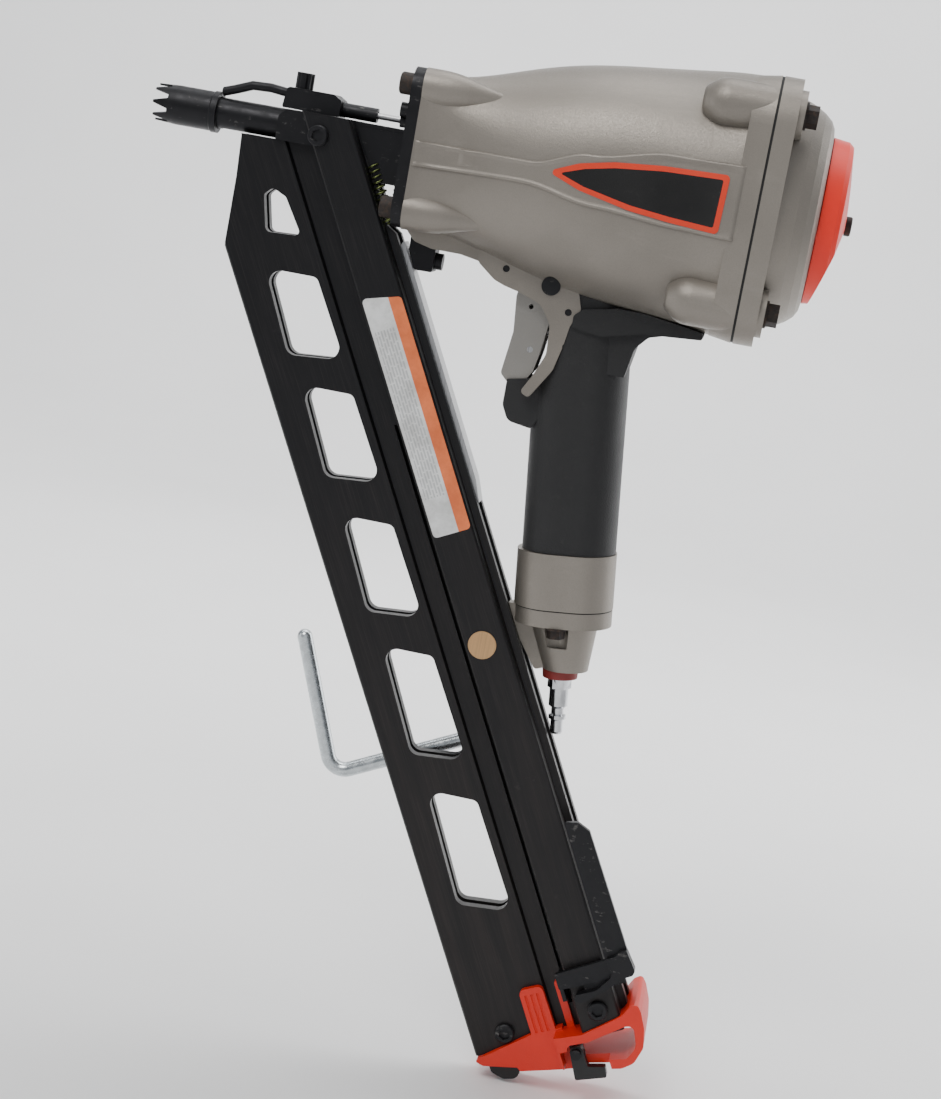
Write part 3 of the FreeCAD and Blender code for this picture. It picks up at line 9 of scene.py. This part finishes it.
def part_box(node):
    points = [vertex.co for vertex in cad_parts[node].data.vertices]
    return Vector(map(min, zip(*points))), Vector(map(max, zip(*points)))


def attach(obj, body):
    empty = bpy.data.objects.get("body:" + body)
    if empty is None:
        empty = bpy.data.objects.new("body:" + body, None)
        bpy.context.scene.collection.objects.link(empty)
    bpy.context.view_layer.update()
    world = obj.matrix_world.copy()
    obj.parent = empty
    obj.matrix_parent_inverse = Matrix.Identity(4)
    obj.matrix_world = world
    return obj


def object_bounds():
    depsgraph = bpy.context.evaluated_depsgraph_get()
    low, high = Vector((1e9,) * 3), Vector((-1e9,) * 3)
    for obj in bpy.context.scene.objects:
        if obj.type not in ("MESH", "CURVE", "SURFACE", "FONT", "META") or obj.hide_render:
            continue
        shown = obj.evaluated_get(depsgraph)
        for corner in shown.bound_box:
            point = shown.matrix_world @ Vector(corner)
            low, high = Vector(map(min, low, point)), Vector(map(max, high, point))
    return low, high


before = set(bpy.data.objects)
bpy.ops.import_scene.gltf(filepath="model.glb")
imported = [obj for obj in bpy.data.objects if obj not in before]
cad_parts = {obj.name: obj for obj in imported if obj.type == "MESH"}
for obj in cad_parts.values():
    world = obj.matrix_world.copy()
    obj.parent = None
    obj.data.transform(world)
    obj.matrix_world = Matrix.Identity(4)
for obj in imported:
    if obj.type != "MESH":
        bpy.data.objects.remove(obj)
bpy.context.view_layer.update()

SLANT = math.radians(27.0)  # tilt of the magazine


# ---------------------------------------------------------------- node helpers


SOCKETS = {"color": "Base Color", "rough": "Roughness", "metal": "Metallic", "sheen": "Sheen Weight"}


class Shader:
    """A small helper that builds one node material."""

    def __init__(self, name):
        self.material = bpy.data.materials.new(name)
        self.material.use_nodes = True
        self.tree = self.material.node_tree
        self.bsdf = self.tree.nodes["Principled BSDF"]
        self.coords = self.add("ShaderNodeTexCoord").outputs["Object"]

    def add(self, kind, **values):
        node = self.tree.nodes.new(kind)
        for key, value in values.items():
            setattr(node, key, value)
        return node

    def join(self, source, target):
        self.tree.links.new(source, target)

    def mapping(self, scale=(1, 1, 1), turn=(0, 0, 0), source=None):
        node = self.add("ShaderNodeMapping")
        node.inputs["Scale"].default_value = scale
        node.inputs["Rotation"].default_value = turn
        self.join(source or self.coords, node.inputs["Vector"])
        return node.outputs["Vector"]

    def noise(self, scale, detail=4.0, roughness=0.55, source=None):
        node = self.add("ShaderNodeTexNoise")
        node.inputs["Scale"].default_value = scale
        node.inputs["Detail"].default_value = detail
        node.inputs["Roughness"].default_value = roughness
        self.join(source or self.coords, node.inputs["Vector"])
        return node.outputs["Fac"]

    def voronoi(self, scale):
        node = self.add("ShaderNodeTexVoronoi")
        node.inputs["Scale"].default_value = scale
        self.join(self.coords, node.inputs["Vector"])
        return node.outputs["Distance"]

    def ramp(self, source, stops):
        node = self.add("ShaderNodeValToRGB")
        elements = node.color_ramp.elements
        while len(elements) < len(stops):
            elements.new(0.5)
        for element, (place, colour) in zip(elements, stops):
            element.position = place
            element.color = colour if len(colour) == 4 else tuple(colour) + (1.0,)
        self.join(source, node.inputs["Fac"])
        return node.outputs["Color"]

    def grey(self, source, low, high, start=0.0, end=1.0):
        node = self.add("ShaderNodeMapRange")
        node.inputs["From Min"].default_value = start
        node.inputs["From Max"].default_value = end
        node.inputs["To Min"].default_value = low
        node.inputs["To Max"].default_value = high
        self.join(source, node.inputs["Value"])
        return node.outputs["Result"]

    def math(self, kind, first, second=None):
        node = self.add("ShaderNodeMath", operation=kind)
        for slot, value in ((0, first), (1, second)):
            if value is None:
                continue
            if isinstance(value, (int, float)):
                node.inputs[slot].default_value = value
            else:
                self.join(value, node.inputs[slot])
        return node.outputs["Value"]

    def between(self, value, low, high):
        above = self.math("GREATER_THAN", value, low)
        return self.math("MULTIPLY", above, self.math("LESS_THAN", value, high))

    def mix(self, factor, first, second):
        node = self.add("ShaderNodeMix", data_type="RGBA")
        for slot, value in ((0, factor), (6, first), (7, second)):
            if isinstance(value, (int, float)):
                node.inputs[slot].default_value = value
            elif isinstance(value, (tuple, list)):
                node.inputs[slot].default_value = tuple(value) + (1.0,) * (4 - len(value))
            else:
                self.join(value, node.inputs[slot])
        return node.outputs[2]

    def split(self, source):
        node = self.add("ShaderNodeSeparateXYZ")
        self.join(source, node.inputs["Vector"])
        return node.outputs["X"], node.outputs["Y"], node.outputs["Z"]

    def bump(self, height, strength=0.3, distance=0.0003):
        node = self.add("ShaderNodeBump")
        node.inputs["Strength"].default_value = strength
        node.inputs["Distance"].default_value = distance
        self.join(height, node.inputs["Height"])
        self.join(node.outputs["Normal"], self.bsdf.inputs["Normal"])

    def set(self, **values):
        for key, value in values.items():
            socket = self.bsdf.inputs[SOCKETS[key]]
            if isinstance(value, (int, float)):
                socket.default_value = value
            elif isinstance(value, (tuple, list)):
                socket.default_value = tuple(value) + (1.0,) * (4 - len(value))
            else:
                self.join(value, socket)


def srgb(red, green, blue):
    """A linear colour from 0 to 255 display values."""
    def part(value):
        value = value / 255.0
        return value / 12.92 if value <= 0.04045 else ((value + 0.055) / 1.055) ** 2.4
    return part(red), part(green), part(blue)


# ---------------------------------------------------------------- materials


def cast_metal(name, tone, metal=0.55, rough=0.43):
    """Satin bead-blasted casting: fine grain, soft clouding and a few rubbed marks."""
    shader = Shader(name)
    cloud = shader.noise(14.0, 3.0, 0.5)
    grain = shader.noise(900.0, 4.0, 0.7)
    fleck = shader.noise(2600.0, 2.0, 0.6)
    dark = tuple(c * 0.80 for c in tone)
    light = tuple(min(1.0, c * 1.13) for c in tone)
    base = shader.ramp(cloud, [(0.25, dark), (0.5, tone), (0.78, light)])
    specked = shader.mix(shader.grey(fleck, 0.0, 0.30, 0.45, 0.75), base, tuple(c * 0.62 for c in tone))
    rub = shader.noise(60.0, 6.0, 0.7, source=shader.mapping((0.25, 1, 1)))
    polished = tuple(min(1.0, c * 1.5) for c in tone)
    marked = shader.mix(shader.grey(rub, 0.0, 0.22, 0.60, 0.74), specked, polished)
    shader.set(color=marked, metal=metal, rough=shader.grey(grain, rough - 0.07, rough + 0.10, 0.3, 0.7))
    shader.bump(shader.math("ADD", grain, shader.math("MULTIPLY", fleck, 0.5)), 0.36, 0.00026)
    return shader.material


DUST = (0.30, 0.28, 0.25)


def moulded(name, tone, rough=0.42, grain_scale=1500.0, grain_depth=0.0001, spread=0.10, sheen=0.0):
    """Moulded plastic or rubber with a fine texture and slight handling marks."""
    shader = Shader(name)
    cloud = shader.noise(30.0, 4.0, 0.6)
    grain = shader.voronoi(grain_scale)
    fine = shader.noise(grain_scale * 1.7, 2.0)
    dark = tuple(c * (1 - spread) for c in tone)
    light = tuple(min(1.0, c * (1 + spread) + 0.002) for c in tone)
    marks = shader.noise(220.0, 5.0, 0.75)
    base = shader.ramp(cloud, [(0.3, dark), (0.55, tone), (0.8, light)])
    dusty = shader.mix(shader.grey(marks, 0.0, 0.03, 0.58, 0.80), base, DUST)
    shader.set(color=dusty, rough=shader.grey(cloud, rough - 0.05, rough + 0.08, 0.3, 0.7), sheen=sheen)
    shader.bump(shader.math("ADD", grain, fine), 0.35, grain_depth)
    return shader.material


def blackened(name, tone=(0.022, 0.022, 0.024), worn=(0.20, 0.19, 0.18), rough=0.42, wear=0.62):
    """Black-finished steel rubbed bright here and there."""
    shader = Shader(name)
    patch = shader.noise(160.0, 6.0, 0.72)
    scratch = shader.noise(300.0, 3.0, 0.6, source=shader.mapping((0.2, 1.0, 2.0)))
    rubbed = shader.math("MULTIPLY", patch, shader.math("ADD", scratch, 0.5))
    mask = shader.grey(rubbed, 0.0, 0.75, wear - 0.02, wear + 0.14)
    gloss = shader.grey(patch, rough - 0.1, rough + 0.16, 0.3, 0.7)
    shader.set(color=shader.mix(mask, tone, worn), metal=0.75, rough=gloss)
    shader.bump(patch, 0.25, 0.00015)
    return shader.material


def rusty(name):
    """Plated bolt gone brown."""
    shader = Shader(name)
    patch = shader.noise(420.0, 6.0, 0.7)
    stops = [(0.30, srgb(22, 20, 20)), (0.52, srgb(44, 36, 32)), (0.74, srgb(78, 60, 48))]
    colour = shader.ramp(patch, stops)
    shader.set(color=colour, metal=0.35, rough=shader.grey(patch, 0.45, 0.75, 0.3, 0.7))
    shader.bump(patch, 0.5, 0.0002)
    return shader.material


def brushed(name, tone, dark=0.72, turn=(0, 0, 0), scale=(900.0, 900.0, 12.0), rough=0.30):
    """Metal with fine drawn or ground lines along one direction."""
    shader = Shader(name)
    lines = shader.noise(1.0, 3.0, 0.6, source=shader.mapping(scale, turn))
    broad = shader.noise(25.0, 3.0)
    base = shader.ramp(lines, [(0.3, tuple(c * dark for c in tone)), (0.65, tone)])
    mixed = shader.mix(shader.grey(broad, 0.0, 0.25, 0.4, 0.8), base, tuple(c * 0.6 for c in tone))
    shader.set(color=mixed, metal=1.0, rough=shader.grey(lines, rough - 0.06, rough + 0.14, 0.3, 0.7))
    shader.bump(lines, 0.25, 0.00012)
    return shader.material


def anodised(name):
    """Black anodised extrusion: drawn lines down its length, with a painted warm grey sheen towards the
    lower end.
    """
    shader = Shader(name)
    local = shader.mapping((1, 1, 1), (0, SLANT, 0))
    lines = shader.noise(1.0, 4.0, 0.7, source=shader.mapping((2600.0, 2600.0, 26.0), source=local))
    broad = shader.noise(1.0, 3.0, 0.6, source=shader.mapping((120.0, 120.0, 9.0), source=local))
    along = shader.split(local)[2]
    # painted sheen: towards the lower end the black is mixed up to a warm grey, a reflection painted into
    # the colour
    low = shader.grey(along, 0.0, 1.0, -0.16, -0.40)
    cool = srgb(18, 18, 21)
    painted_sheen_warm = srgb(40, 36, 35)
    tone = shader.mix(shader.math("MULTIPLY", low, shader.grey(broad, 0.25, 0.9, 0.35, 0.7)), cool, painted_sheen_warm)
    bright = shader.mix(shader.grey(lines, 0.0, 0.34, 0.50, 0.80), tone, srgb(74, 68, 66))
    scuff = shader.noise(70.0, 7.0, 0.75)
    worn = shader.mix(shader.grey(scuff, 0.0, 0.14, 0.64, 0.80), bright, srgb(104, 100, 98))
    shader.set(color=worn, metal=0.45, rough=shader.grey(lines, 0.34, 0.50, 0.3, 0.7))
    shader.bump(lines, 0.18, 0.0001)
    return shader.material


def chrome(name, tone=(0.72, 0.73, 0.75), rough=0.13):
    """Bright zinc or nickel plate with faint rubbing."""
    shader = Shader(name)
    patch = shader.noise(180.0, 6.0, 0.7)
    base = shader.ramp(patch, [(0.35, tuple(c * 0.75 for c in tone)), (0.6, tone)])
    shader.set(color=base, metal=1.0, rough=shader.grey(patch, rough, rough + 0.16, 0.35, 0.75))
    shader.bump(patch, 0.12, 0.0001)
    return shader.material


LABEL_BAND = 0.67  # where the coloured band starts, as a share of the width
BAR_LENGTH, BAR_PITCH, BAR_GAP = 0.0062, 0.0016, 0.00042


def label_film(name, box):
    """White printed film with a coloured band along its rear edge and plain bars in place of print."""
    shader = Shader(name)
    local = shader.mapping((1, 1, 1), (0, SLANT, 0))
    across, _, along = shader.split(local)
    left, right, low, high = box
    u = shader.grey(across, 0.0, 1.0, left, right)
    v = shader.grey(along, 0.0, 1.0, low, high)
    band = shader.math("GREATER_THAN", u, LABEL_BAND)
    wear = shader.noise(90.0, 6.0, 0.7)
    white = shader.ramp(
        wear, [(0.35, srgb(196, 196, 194)), (0.6, srgb(226, 227, 226)), (0.8, srgb(236, 236, 236))])
    orange = shader.ramp(wear, [(0.35, srgb(214, 104, 56)), (0.7, srgb(240, 126, 72))])
    base = shader.mix(band, white, orange)
    flat = shader.add("ShaderNodeCombineXYZ")
    shader.join(along, flat.inputs["X"])
    shader.join(across, flat.inputs["Y"])
    bars = shader.add("ShaderNodeTexBrick", offset=0.37, squash=0.8, offset_frequency=2, squash_frequency=3)
    bars.inputs["Scale"].default_value = 1.0
    bars.inputs["Brick Width"].default_value = BAR_LENGTH
    bars.inputs["Row Height"].default_value = BAR_PITCH
    bars.inputs["Mortar Size"].default_value = BAR_GAP
    shader.join(flat.outputs["Vector"], bars.inputs["Vector"])
    broken = shader.math("SUBTRACT", 1.0, bars.outputs["Fac"])
    inside_u = shader.between(u, 0.08, 0.60)
    inside_v = shader.between(v, 0.16, 0.86)
    ink = shader.math("MULTIPLY", shader.math("MULTIPLY", broken, inside_u), inside_v)
    printed = shader.mix(shader.math("MULTIPLY", ink, 0.42), base, srgb(110, 112, 118))
    shader.set(color=printed, rough=0.38)
    shader.bump(wear, 0.08, 0.0001)
    return shader.material


GREY = srgb(138, 132, 124)
MATERIALS = {
    "cast": cast_metal("cast_grey_satin", GREY),
    "trigger": cast_metal("trigger_grey_satin", srgb(148, 145, 140), metal=0.45, rough=0.40),
    "orange_bright": moulded("orange_deflector", srgb(238, 38, 10), 0.42, spread=0.06),
    "orange": moulded("orange_end_cap", srgb(214, 36, 9), 0.44, spread=0.08),
    "orange_border": moulded("orange_border", srgb(220, 54, 20), 0.46, spread=0.06),
    "panel": moulded("black_panel", srgb(9, 8, 8), 0.34, spread=0.12),
    "black": moulded("black_moulding", srgb(18, 19, 20), 0.44, spread=0.15),
    "rubber": moulded("grip_rubber", srgb(15, 15, 17), 0.60, 1100.0, 0.00018, 0.12, sheen=0.15),
    "gasket": moulded("gasket_rubber", srgb(18, 18, 19), 0.7, 1600.0, 0.0001, 0.1),
    "maroon": moulded("seal_rubber", srgb(128, 40, 36), 0.55, 1600.0, 0.0001, 0.15),
    "nylon": moulded("white_nylon", srgb(214, 210, 198), 0.5, 1600.0, 0.00006, 0.05),
    "dark_steel": blackened("black_steel"),
    "nose_steel": blackened("black_nose_steel", (0.018, 0.018, 0.020), (0.14, 0.135, 0.13), 0.40, 0.66),
    "rusty": rusty("brown_bolt"),
    "anodised": anodised("black_anodised"),
    "steel": brushed("ground_steel", (0.50, 0.50, 0.51), turn=(0, SLANT, 0)),
    "aluminium": brushed("turned_aluminium", (0.62, 0.62, 0.64), scale=(12.0, 900.0, 900.0)),
    "brass": brushed("bronze_disc", srgb(206, 166, 122), 0.8, (0, SLANT, 0), (1400.0, 1400.0, 40.0), 0.38),
    "chrome": chrome("bright_plate"),
    "spring": brushed("olive_spring_wire", (0.16, 0.19, 0.07), 0.7, rough=0.36),
    "zinc": chrome("zinc_plate", (0.60, 0.64, 0.66), 0.20),
}
BY_NODE = {
    "cast": ["housing", "cylinder_cap", "handle_end_cap"],
    "trigger": ["trigger"],
    "orange_bright": ["exhaust_deflector"],
    "orange": ["magazine_end_cap"],
    "orange_border": ["badge_border_left", "badge_border_right"],
    "panel": ["badge_panel_left", "badge_panel_right"],
    "black": ["end_latch", "end_foot"],
    "rubber": ["grip_sleeve"],
    "gasket": ["cap_gasket", "end_cap_gasket", "piston_bumper", "piston_ring"],
    "maroon": ["inlet_seal"],
    "nylon": ["head_valve", "trigger_valve"],
    "nose_steel": ["nose_casting", "nose_plate", "contact_tip", "contact_arm", "adjuster_block",
                   "clamp_screw", "chin_block"],
    "dark_steel": ["follower", "nail_pusher", "trigger_pin", "cheek_pins", "latch_post", "magazine_screws",
                   "push_rod"],
    "rusty": ["nose_bolts", "cap_bolts", "end_cap_bolts", "deflector_screw"],
    "anodised": ["magazine_left", "magazine_right", "hook_block"],
    "steel": ["rear_strip", "magazine_rail", "guide_pin", "driver_blade", "valve_stem", "trigger_lever",
              "lever_pin", "drum_axle", "spring_drum"],
    "aluminium": ["cylinder_sleeve", "piston"],
    "brass": ["rib_disc", "inlet_filter"],
    "zinc": ["rafter_hook"],
    "chrome": ["air_plug"],
}


def node_object(node):
    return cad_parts[node]


def dress(obj, material):
    for slot in obj.material_slots:
        slot.material = material
    if not obj.material_slots:
        obj.data.materials.append(material)


for key, nodes in BY_NODE.items():
    for node in nodes:
        dress(node_object(node), MATERIALS[key])


def local_extent(node):
    """Extent of a node across and along the magazine, in the magazine's own slanted axes."""
    turn = Matrix.Rotation(SLANT, 3, "Y")
    points = [turn @ vertex.co for vertex in node_object(node).data.vertices]
    across = [point.x for point in points]
    along = [point.z for point in points]
    return min(across), max(across), min(along), max(along)


dress(node_object("label"), label_film("printed_film", local_extent("label")))


# ---------------------------------------------------------------- added pieces


def housing_tree():
    data = node_object("housing").data
    return BVHTree.FromPolygons([v.co for v in data.vertices], [list(p.vertices) for p in data.polygons])


def blend_steps(places, x):
    """Value at x of a smooth curve through (x, value) pairs."""
    for (x0, v0), (x1, v1) in zip(places, places[1:]):
        if x <= x1:
            t = max(0.0, (x - x0) / (x1 - x0))
            t = t * t * (3 - 2 * t)
            return v0 + (v1 - v0) * t
    return places[-1][1]


def put(name, mesh, material, body):
    """Turn a bmesh into an object that rides on a body."""
    data = bpy.data.meshes.new(name)
    bmesh.ops.recalc_face_normals(mesh, faces=mesh.faces)
    mesh.to_mesh(data)
    mesh.free()
    for face in data.polygons:
        face.use_smooth = True
    data.materials.append(material)
    obj = bpy.data.objects.new(name, data)
    bpy.context.collection.objects.link(obj)
    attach(obj, body)
    return obj


# Distances in from the band's edge, and the height above the housing at each.
BAND_STEPS = [0.0, 0.0007, 0.0012, 0.0019, 0.0026]
BAND_LIFTS = [-0.0004, 0.0009, 0.0012, 0.0010, 0.0006]
BAND_SECTIONS = 110
BAND_INNER = 13


def make_band(side, tree):
    """The low raised band that runs along the barrel's side and widens round the badge."""
    name = "left" if side < 0 else "right"
    low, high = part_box("badge_border_" + name)
    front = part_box("nose_plate")[1][0] + 0.0004
    rear = high[0] + 0.0072
    upper = [(front, 0.0046), (low[0] - 0.012, 0.0046), (low[0] + 0.016, high[2] - 0.0015),
             (low[0] + 0.055, high[2] + 0.0052), (rear, high[2] + 0.0058)]
    lower = [(front, -0.0086), (low[0] - 0.014, -0.0072), (low[0] + 0.022, low[2] + 0.0010),
             (low[0] + 0.062, low[2] - 0.0018), (rear, low[2] - 0.0026)]
    mesh = bmesh.new()
    rows = []
    for i in range(BAND_SECTIONS + 1):
        x = front + (rear - front) * i / BAND_SECTIONS
        top, bottom = blend_steps(upper, x), blend_steps(lower, x)
        row = []
        spread = [bottom + d for d in BAND_STEPS]
        inner = top - bottom - 2 * BAND_STEPS[-1]
        spread += [bottom + BAND_STEPS[-1] + inner * k / (BAND_INNER + 1) for k in range(1, BAND_INNER + 1)]
        spread += [top - d for d in reversed(BAND_STEPS)]
        lifts = BAND_LIFTS + [BAND_LIFTS[-1]] * BAND_INNER + BAND_LIFTS[::-1]
        for z, lift in zip(spread, lifts):
            start = Vector((x, side * 0.2, z))
            place, normal = tree.ray_cast(start, Vector((0, -side, 0)))[:2]
            if normal.y * side < 0:
                normal = -normal
            if i in (0, BAND_SECTIONS):
                lift = BAND_LIFTS[0]
            row.append(mesh.verts.new(place + normal * lift))
        rows.append(row)
    for first, second in zip(rows, rows[1:]):
        for a, b, c, d in zip(first, first[1:], second[1:], second):
            mesh.faces.new((a, b, c, d))
    put("barrel_band_" + name, mesh, MATERIALS["cast"], "tool")


COIL_POINTS = 16  # points in each turn


def make_coil(name, start, end, radius, wire, turns, material, body):
    """A wound spring between two points."""
    curve = bpy.data.curves.new(name, "CURVE")
    curve.dimensions = "3D"
    curve.bevel_depth = wire
    curve.bevel_resolution = 3
    start, end = Vector(start), Vector(end)
    axis = (end - start).normalized()
    first = axis.cross(Vector((0, 1, 0))).normalized()
    second = axis.cross(first)
    total = int(turns * COIL_POINTS)
    spline = curve.splines.new("NURBS")
    spline.points.add(total)
    for i in range(total + 1):
        angle = 2 * math.pi * i / COIL_POINTS
        round_axis = first * (radius * math.cos(angle)), second * (radius * math.sin(angle))
        place = start.lerp(end, i / total) + round_axis[0] + round_axis[1]
        spline.points[i].co = (*place, 1.0)
    spline.order_u = 3
    spline.use_endpoint_u = True
    curve.materials.append(material)
    obj = bpy.data.objects.new(name, curve)
    bpy.context.collection.objects.link(obj)
    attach(obj, body)


def make_sheet_clip(name, points, width, thick, material, body):
    """A strip of sheet metal that follows points in the XZ plane, between two values of Y."""
    mesh = bmesh.new()
    low, high = width
    rows = []
    for i, (x, z) in enumerate(points):
        before = Vector(points[max(i - 1, 0)])
        after = Vector(points[min(i + 1, len(points) - 1)])
        along = (after - before).normalized()
        side = Vector((-along.y, along.x)) * thick / 2
        rows.append([mesh.verts.new((x + s * side.x, y, z + s * side.y)) for s, y in
                     ((1, low), (1, high), (-1, high), (-1, low))])
    for first, second in zip(rows, rows[1:]):
        for k in range(4):
            mesh.faces.new((first[k], first[(k + 1) % 4], second[(k + 1) % 4], second[k]))
    mesh.faces.new(rows[0])
    mesh.faces.new(list(reversed(rows[-1])))
    obj = put(name, mesh, material, body)
    bevel = obj.modifiers.new("bevel", "BEVEL")
    bevel.width = thick * 0.25
    bevel.segments = 2


housing_shape = housing_tree()
for badge_side in (-1, 1):
    make_band(badge_side, housing_shape)
make_coil("feed_spring", (0.1015, -0.0105, -0.0118), (0.1146, -0.0105, -0.0395), 0.0030, 0.00055, 11,
          MATERIALS["spring"], "tool")
make_coil("contact_spring", (0.1130, 0.0105, -0.0105), (0.1130, 0.0105, -0.0285), 0.0024, 0.0005, 8,
          MATERIALS["spring"], "tool")
make_sheet_clip("spring_clip", [(0.1172, -0.0180), (0.1150, -0.0260), (0.1172, -0.0340), (0.1190, -0.0400)],
                (-0.0060, 0.0020), 0.0008, MATERIALS["steel"], "tool")

# ---------------------------------------------------------------- floor, light and camera


def make_floor():
    """A pale sheet just below the object that sweeps up behind it."""
    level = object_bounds()[0][2] - 0.002
    near, far, half, bend = -3.0, 1.6, 4.0, 0.9
    mesh = bmesh.new()
    profile = [(near, level)]
    steps = 12
    for step in range(steps + 1):
        angle = math.radians(90.0 * step / steps)
        profile.append((far + bend * math.sin(angle), level + bend * (1 - math.cos(angle))))
    profile.append((far + bend, level + 4.0))
    rows = []
    for depth, height in profile:
        rows.append([mesh.verts.new((x, depth, height)) for x in (-half, half)])
    for first, second in zip(rows, rows[1:]):
        face = mesh.faces.new((first[0], first[1], second[1], second[0]))
        face.smooth = True
    data = bpy.data.meshes.new("floor")
    mesh.to_mesh(data)
    mesh.free()
    obj = bpy.data.objects.new("floor", data)
    bpy.context.collection.objects.link(obj)
    shader = Shader("pale_floor")
    cloud = shader.noise(3.0, 3.0)
    shader.set(color=shader.ramp(cloud, [(0.3, (0.80, 0.80, 0.80)), (0.7, (0.84, 0.84, 0.84))]), rough=0.85)
    data.materials.append(shader.material)


def aim(obj, place, target):
    obj.location = place
    direction = Vector(target) - Vector(place)
    obj.rotation_euler = direction.to_track_quat("-Z", "Y").to_euler()


def area_light(name, place, target, power, size, colour):
    light = bpy.data.lights.new(name, "AREA")
    light.energy = power
    light.shape = "RECTANGLE"
    light.size = size[0]
    light.size_y = size[1]
    light.color = colour
    obj = bpy.data.objects.new(name, light)
    bpy.context.collection.objects.link(obj)
    aim(obj, place, target)


MIDDLE = (0.16, 0.0, -0.2)
WHITE = (1.0, 1.0, 1.0)
# name, place, target, power, size, colour
LIGHTS = [
    ("key", (-0.5, -1.4, 1.7), MIDDLE, 33.0, (1.1, 1.1), (1.0, 0.985, 0.96)),
    ("front", (0.7, -2.0, 0.1), MIDDLE, 3.5, (1.6, 1.6), WHITE),
    ("top", (0.3, 0.2, 1.8), MIDDLE, 16.0, (1.4, 1.0), WHITE),
    ("rim", (1.5, 0.9, 0.3), MIDDLE, 12.0, (0.8, 1.2), WHITE),
    ("left", (-1.5, -0.5, -0.1), MIDDLE, 5.0, (1.0, 1.4), WHITE),
    ("wall", (0.2, 0.6, 1.2), (0.2, 2.2, 0.2), 60.0, (2.5, 1.5), WHITE),
]


def make_lights():
    for light in LIGHTS:
        area_light(*light)
    world = bpy.context.scene.world or bpy.data.worlds.new("studio")
    bpy.context.scene.world = world
    world.use_nodes = True
    background = world.node_tree.nodes["Background"]
    background.inputs["Color"].default_value = (0.92, 0.95, 1.0, 1.0)
    background.inputs["Strength"].default_value = 0.38


CAMERA_PLACE = Vector((0.300, -1.100, 0.010))
CAMERA_TARGET = Vector((0.182948, 0.0, -0.195572))
CAMERA_ROLL = math.radians(10.244)
SENSOR = 36.0
LENS_FACTOR = 2182.19 / 1099.0  # focal length over sensor height


def make_camera():
    """Camera in front of the grip, rolled as a hand-held view is."""
    camera = bpy.data.cameras.new("camera")
    forward = (CAMERA_TARGET - CAMERA_PLACE).normalized()
    right = forward.cross(Vector((0, 0, 1))).normalized()
    up = right.cross(forward)
    right_turned = right * math.cos(CAMERA_ROLL) + up * math.sin(CAMERA_ROLL)
    up_turned = up * math.cos(CAMERA_ROLL) - right * math.sin(CAMERA_ROLL)
    turn = Matrix((right_turned, up_turned, -forward)).transposed()
    obj = bpy.data.objects.new("camera", camera)
    obj.matrix_world = Matrix.Translation(CAMERA_PLACE) @ turn.to_4x4()
    camera.sensor_width = SENSOR
    camera.lens = SENSOR * LENS_FACTOR
    camera.clip_start = 0.05
    bpy.context.collection.objects.link(obj)
    bpy.context.scene.camera = obj


make_floor()
make_lights()
make_camera()
